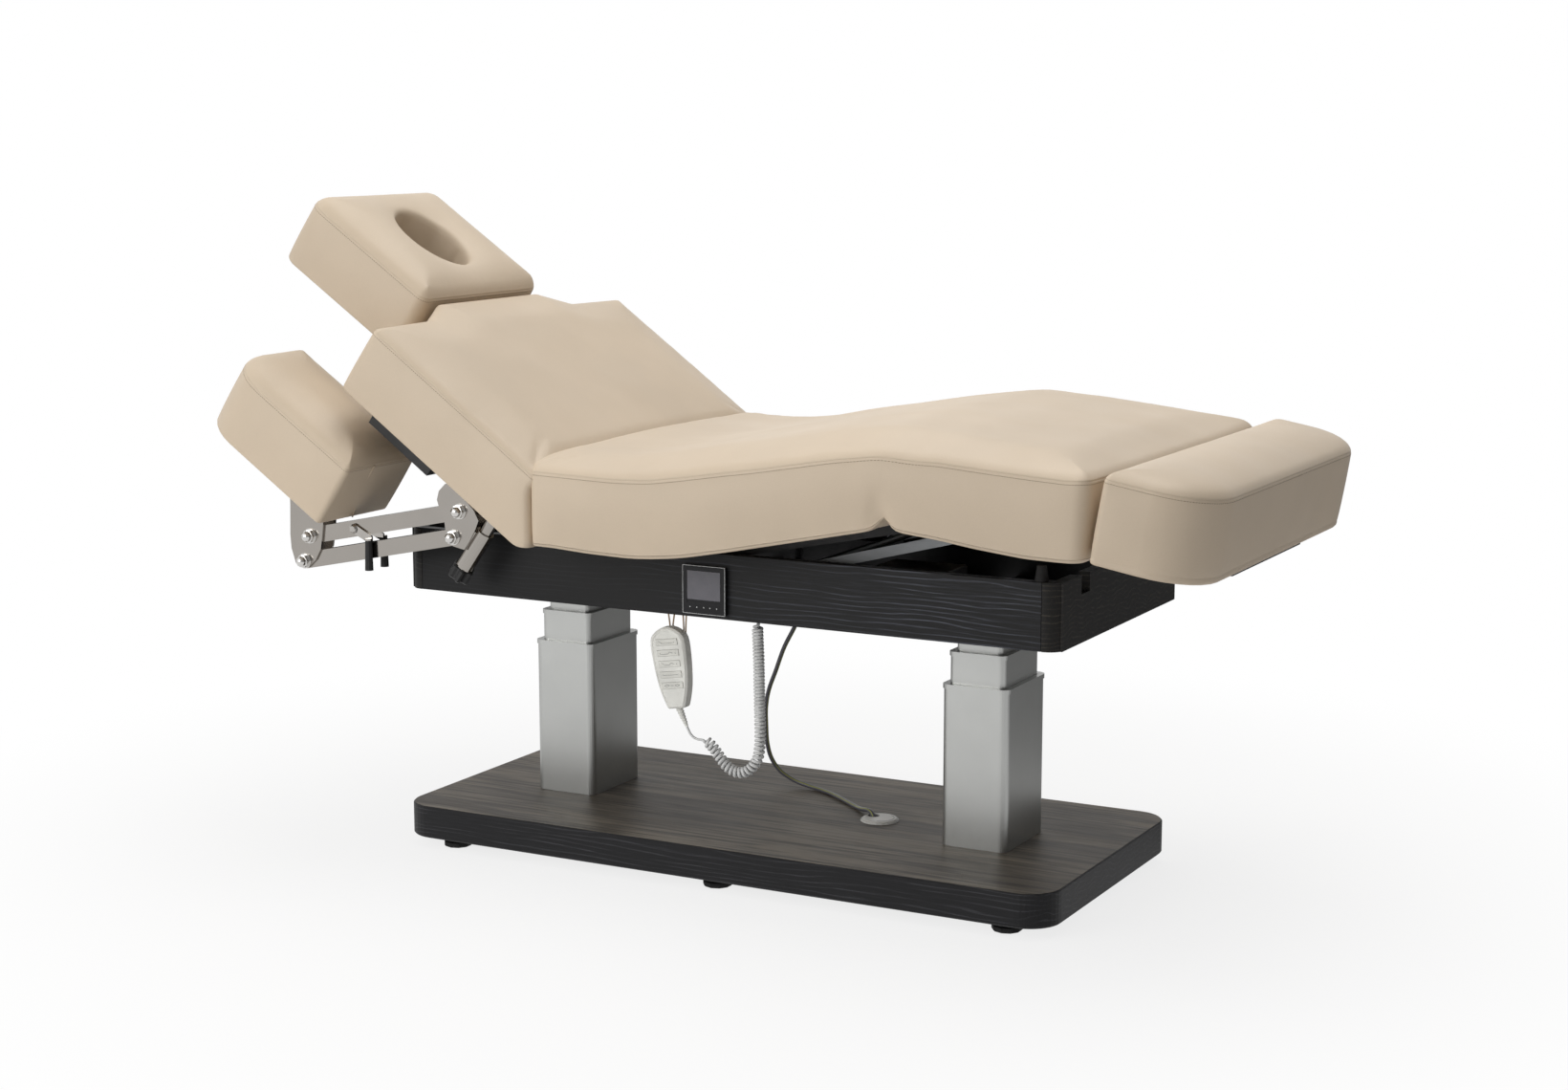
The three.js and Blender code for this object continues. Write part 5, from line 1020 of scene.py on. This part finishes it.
def coil_line(radius=7.6, loose=7.9, tight=6.1, per_turn=14, reach=14, slack=24):
    """The handset's cord wound round its route: looser in the hanging loop, where its weight
    pulls it, and opening softly over its reach at both ends."""
    route = COIL + (0, CORD_Y, 0)
    _, length = rounded_line(route, 2)
    fine = np.linspace(0, length, 2000)
    pitch = loose + (tight - loose) * ease((fine - 150) / 90)
    pitch = pitch + slack * (1 - ease(np.minimum(fine, length - fine) / reach))
    phase = np.concatenate([[0], np.cumsum(np.diff(fine) / pitch[1:])])
    steps = round(phase[-1] * per_turn)
    middle, _ = rounded_line(route, steps + 1)
    along = np.linspace(0, length, steps + 1)
    turns = 2 * math.pi * np.interp(along, fine, phase)
    opening = radius * ease((np.minimum(along, length - along) - 1) / reach)
    frames = carried_frames(middle, np.array([0.0, -1.0, 0.0]))
    return np.array([centre + out * (math.cos(turn) * side + math.sin(turn) * other)
                     for centre, out, turn, (side, other) in zip(middle, opening, turns, frames)])


LEAD_WIRE, COIL_WIRE = 2.3, 2.9


def cord_radii(line, lead_points):
    """The handset cord's thickness: a thinner lead that grows into the coil."""
    past_lead = np.arange(len(line)) - lead_points
    return LEAD_WIRE + (COIL_WIRE - LEAD_WIRE) * ease(past_lead / 20)


CABLE_RADIUS = 4.15
CABLE_FREE_FROM, CABLE_FREE_TO = 100, 478  # the heights between which the cable hangs free
STRIPE_SIDE = 11  # which of its tube's sides has the stripe


def cord_object(name, line, radius, sides, materials, nodes, slot, stripe=None, **facts):
    """A cord along its line, with a stripe of the second material along one side of its tube."""
    points, faces = tube_points(line, radius, sides)
    walls = len(faces) - 2
    indices = [int(stripe is not None and k < walls and k % sides == stripe)
               for k in range(len(faces))]
    piece = new_object(name, points, faces, materials, indices)
    metres = place(line)
    tuple(metres[0])
    [tuple(p) for p in metres]
    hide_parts(*nodes)
    return piece


def make_cords():
    lead, _ = rounded_line(LEAD + (0, CORD_Y, 0), 40)
    line = np.vstack([lead[:-1], coil_line()])
    cord = cord_object("handset_cord", line, cord_radii(line, len(lead)), 8, [cord_grey],
                       ["handset_lead", "curly_cord"], "grey_cord", stiffness="limp", lay="coiled")
    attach(cord, "carriage")
    line, _ = rounded_line(CABLE, 160)
    cable = cord_object("supply_cable_cover", line, CABLE_RADIUS, 14, [cable_grey, cable_stripe],
                        ["supply_cable"], "dark_cord", stripe=STRIPE_SIDE, stiffness="medium",
                        lay="loose")
    blend_over(cable, [(0, 0, CABLE_FREE_FROM), (0, 0, CABLE_FREE_TO)])


make_cords()
make_leg_cushions()
make_back_cushion()
make_small_cushions()


# The model's own solids


def shade(piece, material, angle, bevel):
    """A finish for one solid, sharp from an angle on, with its edges eased by a bevel."""
    mesh = piece.data
    mesh.materials.clear()
    mesh.materials.append(material)
    mesh.polygons.foreach_set("material_index", np.zeros(len(mesh.polygons), np.int32))
    if "custom_normal" in mesh.attributes:
        mesh.attributes.remove(mesh.attributes["custom_normal"])
    mesh.polygons.foreach_set("use_smooth", np.ones(len(mesh.polygons), bool))
    mesh.set_sharp_from_angle(angle=math.radians(angle))
    if bevel:
        piece.modifiers.new("weld", "WELD").merge_threshold = 1e-5
        edge = piece.modifiers.new("edges", "BEVEL")
        edge.width = bevel / 1000
        edge.segments = 2
        edge.limit_method = "ANGLE"
        edge.angle_limit = math.radians(40)
        edge.harden_normals = True


FINISHES = [
    (("outer_tube", "middle_tube", "inner_tube"), aluminium, 30, 0),
    (("_foot", "rubber_stop"), rubber, 40, 0),
    (("side_panel",), cabinet_oak, 25, 0.8),
    (("end_panel",), end_oak, 25, 0.8),
    (("arm_lock_lever",), lever_finish, 30, 0),
    (("actuator_rod", "arm_socket", "arm_post", "_link", "arm_bracket"), chrome, 30, 0),
    (("calf_struts", "lift_screw"), zinc, 30, 0),
    (("arm_knob", "power_unit", "actuator"), black_plastic, 40, 0),
    (("base_cover",), plinth_oak, 25, 0),
    (("handset_case",), white_plastic, 50, 0),
    (("handset_key",), key_plastic, 30, 0),
    (("handset_hook",), wire_brown, 60, 0),
    (("cable_grommet",), grommet_grey, 40, 0),
    (("heat_control",), black_glass, 30, 0),
    (("",), steel, 30, 0),
]


def finish_solids():
    """Gives each solid the first finish whose words are in its name."""
    for node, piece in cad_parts.items():
        for words, *finish in FINISHES:
            if any(word in node for word in words):
                shade(piece, *finish)
                break


finish_solids()


# Small fittings that the model's solids leave out


def fitting(name, bodies, material, body, to_table=None, angle=30):
    """One small piece that moves with a body of the model."""
    points, faces = merged(bodies)
    piece = new_object(name, to_table(points) if to_table else points, faces, [material])
    mesh = bmesh.new()
    mesh.from_mesh(piece.data)
    bmesh.ops.recalc_face_normals(mesh, faces=mesh.faces[:])
    mesh.to_mesh(piece.data)
    mesh.free()
    piece.data.set_sharp_from_angle(angle=math.radians(angle))
    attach(piece, body)
    return piece


def facing_y(loop, y):
    """A flat line in x and z, set at one y."""
    return np.column_stack([loop[:, 0], np.full(len(loop), float(y)), loop[:, 1]])


def raised(corners, rows, y, closed):
    """A thin body on a face that looks to -Y, through rows of inset and height."""
    rings = [facing_y(outline(corners, inset, per_arc=4), y - out) for inset, out in rows]
    return ring_body(rings, closed)


def frame_band(corners, width, y, proud):
    """A thin raised frame."""
    rows = [(0, 0), (0.12, proud), (width - 0.12, proud), (width, 0), (width - 0.1, -0.4),
            (0.1, -0.4)]
    return raised(corners, rows, y, closed=True)


def flat_plate(corners, y, proud, rim=0.15):
    """A thin raised plate."""
    return raised(corners, [(0, -0.4), (0, proud - rim), (rim, proud)], y, closed=False)


def oblong(x, z, half_x, half_z, r):
    """The corners of a rounded rectangle round a middle."""
    return [(x + i * half_x, z + j * half_z, r) for i, j in ((-1, -1), (1, -1), (1, 1), (-1, 1))]


def dome_nut(x, y, z):
    """A washer and a domed nut on a face that looks to -Y."""
    turns = np.radians(np.arange(0, 360, 10) + 12.0)
    flats = 11.2 / np.cos((turns % (math.pi / 3)) - math.pi / 6)
    washer = [(13.8, 0), (14.3, 0.4), (14.3, 1.4), (13.8, 1.8)]
    hexagon = [(12.4, 1.8), (12.4, 8.2), (11.8, 9.0)]
    dome = [(9.9, 9.3), (9.8, 11.6), (9.0, 14.6), (7.0, 17.2), (4.2, 18.9), (1.4, 19.5)]
    rings = []
    for radius, out in washer + hexagon + dome:
        r = np.minimum(flats, radius + 0.5) if (radius, out) in hexagon else radius
        rings.append(facing_y(np.column_stack([x + r * np.cos(turns), z + r * np.sin(turns)]),
                              y - out))
    return ring_body(rings, closed=False)


def handset_outline(inset):
    """The handset's outline, drawn in x and z from its foot."""
    shares = [(0, 0.42), (0.04, 0.56), (0.15, 0.72), (0.27, 0.86), (0.43, 0.965), (0.6, 1.02),
              (0.74, 1.02), (0.85, 1.0), (0.91, 0.87), (0.95, 0.66), (0.985, 0.4)]
    half, tall = HANDSET_HALF_WIDTH - inset, HANDSET_LENGTH - 2 * inset
    right = np.array([(across * half, inset + up * tall) for up, across in shares])
    knots = np.vstack([right, (right * (-1, 1))[::-1]])
    steps = np.linspace(0, 1, 5)[:-1, None]
    dense = np.vstack([a + (b - a) * steps for a, b in zip(knots, np.roll(knots, -1, axis=0))])
    for _ in range(3):
        dense = (np.roll(dense, 1, axis=0) + 2 * dense + np.roll(dense, -1, axis=0)) / 4
    return dense


def stroke(x0, z0, x1, z1, y, width=0.55, proud=0.12):
    """A printed line on a face that looks to -Y."""
    a, b = np.array([x0, z0]), np.array([x1, z1])
    way = (b - a) / np.linalg.norm(b - a) * width / 2
    side = np.array([-way[1], way[0]])
    loop = np.array([a - way - side, b + way - side, b + way + side, a - way + side])
    return ring_body([facing_y(loop, y + 0.3), facing_y(loop, y - proud)], closed=False)


HANDSET_HALF_WIDTH, HANDSET_LENGTH, HANDSET_FACE = 34, 146, -12
BOOT_LENGTH, BOOT_ANGLE = 36, -17
KEY_FACE, KEY_HALF_WIDTH, KEY_HALF_HEIGHT = -13.1, 21.7, 5.2
FIRST_KEY, KEY_PITCH = 42, 19.5

# What is printed on each key, from the lowest up, as lines from its middle: the table's outline
END_DOWN, END_UP = (15.4, 0.4, 15.5, -1.8), (-15.5, 2.4, -15.2, 1.6)
BACK_RAISED = [(-14, 1.4, -9.4, -1.8)]
KNEES_RAISED = [(0, -1.8, 4.4, 1.6), (4.4, 1.6, 9.6, -0.4)]
SIGNS = [
    [(-15.4, 0, -11, 2), (-15.4, 0, -11, -2), (-11, 2, -6, 0.4), (-11, -2, -6, -0.4),
     (-2.4, 0, 2.4, 0), (6, 0.4, 11, 2), (6, -0.4, 11, -2), (11, 2, 15.4, 0), (11, -2, 15.4, 0)],
    [(-15.5, 0.9, -15.4, 0.3), (-14, -0.6, 14, -0.6), (15.4, 0.9, 15.5, 0.3)],
    [END_UP, *BACK_RAISED, (-9.4, -1.8, 0, -1.8), *KNEES_RAISED, END_DOWN],
    [(-15.5, 0.6, -15.4, -1.8), (-14, -1.8, 0, -1.8), *KNEES_RAISED, END_DOWN],
    [END_UP, *BACK_RAISED, (-9.4, -1.8, 14, -1.8), END_DOWN],
]


def boot_place(points):
    return hand_place(turned(points, BOOT_ANGLE, (0, 0, 0)))


def make_handset_parts():
    """The handset's bead, the ribs of its strain relief, and its keys' rims and signs."""
    rows = [(3.1, -0.3), (3.3, 0.45), (4.1, 0.75), (5.0, 0.45), (5.3, -0.3)]
    bead = ring_body([facing_y(handset_outline(inset), HANDSET_FACE - out) for inset, out in rows])
    fitting("handset_rim", [bead], white_plastic, "carriage", hand_place)
    ribs = []
    turns = np.radians(np.arange(0, 360, 15))
    circle = np.column_stack([np.cos(turns), np.sin(turns)])
    for down in np.arange(3.5, 29, 5):
        r = 6.5 - 3.6 * down / BOOT_LENGTH
        profile = [(-0.4, -1.5), (0.35, -1.1), (0.7, 0), (0.35, 1.1), (-0.4, 1.5)]
        rings = [at_height((r + out) * circle, z - down) for out, z in profile]
        ribs.append(ring_body(rings, closed=False))
    fitting("handset_boot_ribs", ribs, white_plastic, "carriage", boot_place, 60)
    for row, sign in enumerate(SIGNS):
        key = f"handset_key_{row + 1}"
        z = FIRST_KEY + KEY_PITCH * row
        rim = frame_band(oblong(0, z, KEY_HALF_WIDTH, KEY_HALF_HEIGHT, 1.6), 1.0, KEY_FACE, 0.3)
        fitting(key + "_rim", [rim], white_plastic, key, hand_place)
        lines = [stroke(x0, z + z0, x1, z + z1, KEY_FACE) for x0, z0, x1, z1 in sign]
        fitting(key + "_sign", lines, print_grey, key, hand_place)


CONTROL_FACE, CONTROL_MIDDLE = -295.3, 544.5


def make_control_face():
    """The touch panel's printed border, screen and icons."""
    z = CONTROL_MIDDLE
    border = frame_band(oblong(0, z, 42.6, 43.1, 1.2), 1.0, CONTROL_FACE, 0.3)
    screen = flat_plate(oblong(0, z + 8, 33, 25.5, 0.8), CONTROL_FACE, 0.35)
    icons = [flat_plate(oblong(x, z - 30.9, 1, 1, 0.6), CONTROL_FACE, 0.2, 0.08)
             for x in (-27.7, -14, 0, 12.5, 26)]
    fitting("heat_control_border", [border], border_white, "carriage")
    fitting("heat_control_screen", [screen], screen_grey, "carriage")
    fitting("heat_control_signs", icons, border_white, "carriage")


def make_grommet_cap():
    """The grommet's lid, with its notch for the cable and a moulded arc drawn as a dark line of
    painted shade.
    """
    turns = np.radians(np.arange(0, 360, 6))
    circle = np.column_stack([np.cos(turns), np.sin(turns)])
    count = len(circle)
    middle, notch = np.array([196.0, 11.0]), np.array([179.5, 18.5])
    hole = notch + circle * (9.5, 8.0)
    low, high = 84.95, 87.2
    top, triangles = fill(middle + circle * 30.6, 5, hole)
    rings = [(middle + circle * 32, low), (middle + circle * 32, high - 0.9),
             (middle + circle * 31.5, high - 0.2), (hole, high - 3.4), (top, high)]
    points = np.vstack([at_height(flat, z) for flat, z in rings])
    rim, wall, first = 2 * count, 3 * count, 4 * count
    faces = bands(count, 3)
    for lower, upper in ((rim, first), (first + count, wall)):
        faces += [(lower + i, lower + (i + 1) % count, upper + (i + 1) % count, upper + i)
                  for i in range(count)]
    faces += [tuple(first + i for i in t) for t in triangles]
    fitting("cable_grommet_lid", [(points, faces)], lid_grey, "base")
    # Painted shade: the moulded arc is drawn as a thin dark grey line.
    arc = np.radians(np.linspace(-75, 62, 30))
    line = at_height(middle + 26.5 * np.column_stack([np.cos(arc), np.sin(arc)]), high)
    fitting("cable_grommet_arc", [tube_points(line, 0.45, 6)], print_grey, "base")
    mouth = [at_height(notch + circle * (r, r * 0.86), high + rise)
             for r, rise in ((11.2, -0.2), (10.8, 0.5), (9.6, 0.3), (9.4, -2.6))]
    fitting("cable_grommet_mouth", [ring_body(mouth)], rubber, "base")


STRAP_Y = -271.2
STRAP_TOP = 493.6
STRAPS = [(-79.6, 6.4, 2.6, 432), (-52.4, 3.4, 2.0, 436)]
STRAP_FOOT = 1.9


def make_hook():
    """The handset hangs in two narrow loops of brown strap."""
    lines = []
    for middle, top, waist, low in STRAPS:
        sides = []
        for way in (-1, 1):
            knots = [(middle + way * half, STRAP_Y, z)
                     for half, z in ((top, STRAP_TOP), ((top + waist) / 2, 482), (waist, 466),
                                     (STRAP_FOOT, low))]
            sides.append(rounded_line(knots, 24)[0])
        foot = [(middle - STRAP_FOOT * math.cos(t), STRAP_Y, low - STRAP_FOOT * math.sin(t))
                for t in np.linspace(0, math.pi, 9)]
        lines.append(np.vstack([sides[0], foot[1:-1], sides[1][::-1]]))
    straps = fitting("handset_straps", [tube_points(line, 1.45, 10) for line in lines],
                     wire_brown, "carriage")
    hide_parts("handset_hook")


NUT_FACE = -365
POST_NUTS = [(-465.4, 660.1), (-479.4, 612.1)]
REST_NUTS = [(-802.4, 590.3), (-816.5, 542.3)]


def make_nuts():
    """The domed nuts on the arm rest's four bolts."""
    for body, places in (("arm_post", POST_NUTS), ("arm_rest", REST_NUTS)):
        fitting(body + "_nuts", [dome_nut(x, NUT_FACE, z) for x, z in places], bright_chrome,
                body)


make_handset_parts()
make_control_face()
make_grommet_cap()
make_hook()
make_nuts()


# Floor, backdrop and light

LIT_LEVEL = 0.44
LIT_STOPS = [(0.0, 1.12), (0.5, 0.95), (0.8, 0.55), (1.0, 0.4)]
# Painted reflection: the world as glossy rays see it, pale at the head end and dark at the leg end.
PAINTED_REFLECTION_STOPS = [(0.0, 0.95), (0.45, 0.9), (0.75, 0.35), (1.0, 0.2)]
FLOOR_REACH = 9
# Each lamp's place, what it looks at, its size, power and colour
LAMPS = {
    "overhead": ((0.1, 0.2, 3.4), (0.0, 0.0, 0.7), (3.2, 2.4), 62, (1, 0.985, 0.96)),
    "front": ((-1.7, -3.4, 1.7), (0.0, 0.0, 0.6), (2.6, 2.0), 58, (1, 0.99, 0.97)),
}


def make_floor():
    """A floor that is white to the camera and keeps the table's shadow. In reflections it is pale
    in front and darkens behind the table, as a painted dark reflection.
    """
    n = new_material("floor")
    path = n.add("ShaderNodeLightPath").outputs
    shiny = n.math("MAXIMUM", path["Is Glossy Ray"], path["Is Transmission Ray"])
    seen = n.math("MAXIMUM", path["Is Camera Ray"], shiny)
    away = n.add("ShaderNodeVectorMath", {0: n.coords["Object"]}, operation="LENGTH")
    far = n.ramp(n.math("DIVIDE", away.outputs["Value"], 4.0), [(0.2, 0.8), (0.5, 1.0)],
                 smooth=True)
    # Painted reflection: to glossy rays the floor darkens from pale in front of the table to dark
    # behind it.
    painted_reflection_shade = n.ramp(n.math("MULTIPLY", n.split()["Y"], 0.5, clamp=True), [(0.1, 0.9), (0.45, 0.2)],
                    smooth=True)
    mirrored = n.math("SUBTRACT", 1.0, path["Is Camera Ray"])
    diffuse = n.add("ShaderNodeBsdfDiffuse", {"Color": (0.86, 0.86, 0.86, 1)})
    glow = n.add("ShaderNodeEmission", {"Color": n.mix(mirrored, WHITE, painted_reflection_shade), "Strength": 1.0})
    material = n.surface(n.blend(n.math("MULTIPLY", seen, far), diffuse, glow))
    corners = [(x, y, 0) for x, y, _ in oblong(0, 0, FLOOR_REACH, FLOOR_REACH, 0)]
    mesh = new_mesh("floor", corners, [(0, 1, 2, 3)])
    mesh.materials.append(material)
    link("floor", mesh)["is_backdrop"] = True


def make_world():
    """White to the camera. It lights the object plainly, a little less from the leg end, and in
    reflections shows a painted reflection that is dark towards the leg end.
    """
    world = bpy.data.worlds.new("studio")
    bpy.context.scene.world = world
    n = Nodes(world, "ShaderNodeOutputWorld")

    def background(colour, strength):
        return n.add("ShaderNodeBackground", {"Color": colour, "Strength": strength})

    path = n.add("ShaderNodeLightPath").outputs
    leg_side = n.add("ShaderNodeMath", {0: n.split("Generated")["X"], 1: 0.5, 2: 0.5},
                     operation="MULTIPLY_ADD").outputs[0]
    shiny = n.math("MAXIMUM", path["Is Glossy Ray"], path["Is Transmission Ray"])
    lit = n.blend(shiny, background(n.ramp(leg_side, LIT_STOPS), LIT_LEVEL),
                  background(n.ramp(leg_side, PAINTED_REFLECTION_STOPS), 1.0))
    n.surface(n.blend(path["Is Camera Ray"], lit, background(WHITE, 1.0)))


def add_lamps():
    """Large soft lamps, from above and from the near side at the head end."""
    for name, (location, target, size, power, colour) in LAMPS.items():
        data = bpy.data.lights.new(name, "AREA")
        data.shape = "RECTANGLE"
        data.size, data.size_y = size
        data.energy = power
        data.color = colour
        lamp = link(name, data)
        lamp.location = location
        way = Vector(target) - Vector(location)
        lamp.rotation_euler = way.to_track_quat("-Z", "Y").to_euler()


make_floor()
make_world()
add_lamps()
bpy.context.scene.view_settings.view_transform = "Standard"

boxes = [[list(corner) for corner in box] for box in (cad_box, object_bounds())]
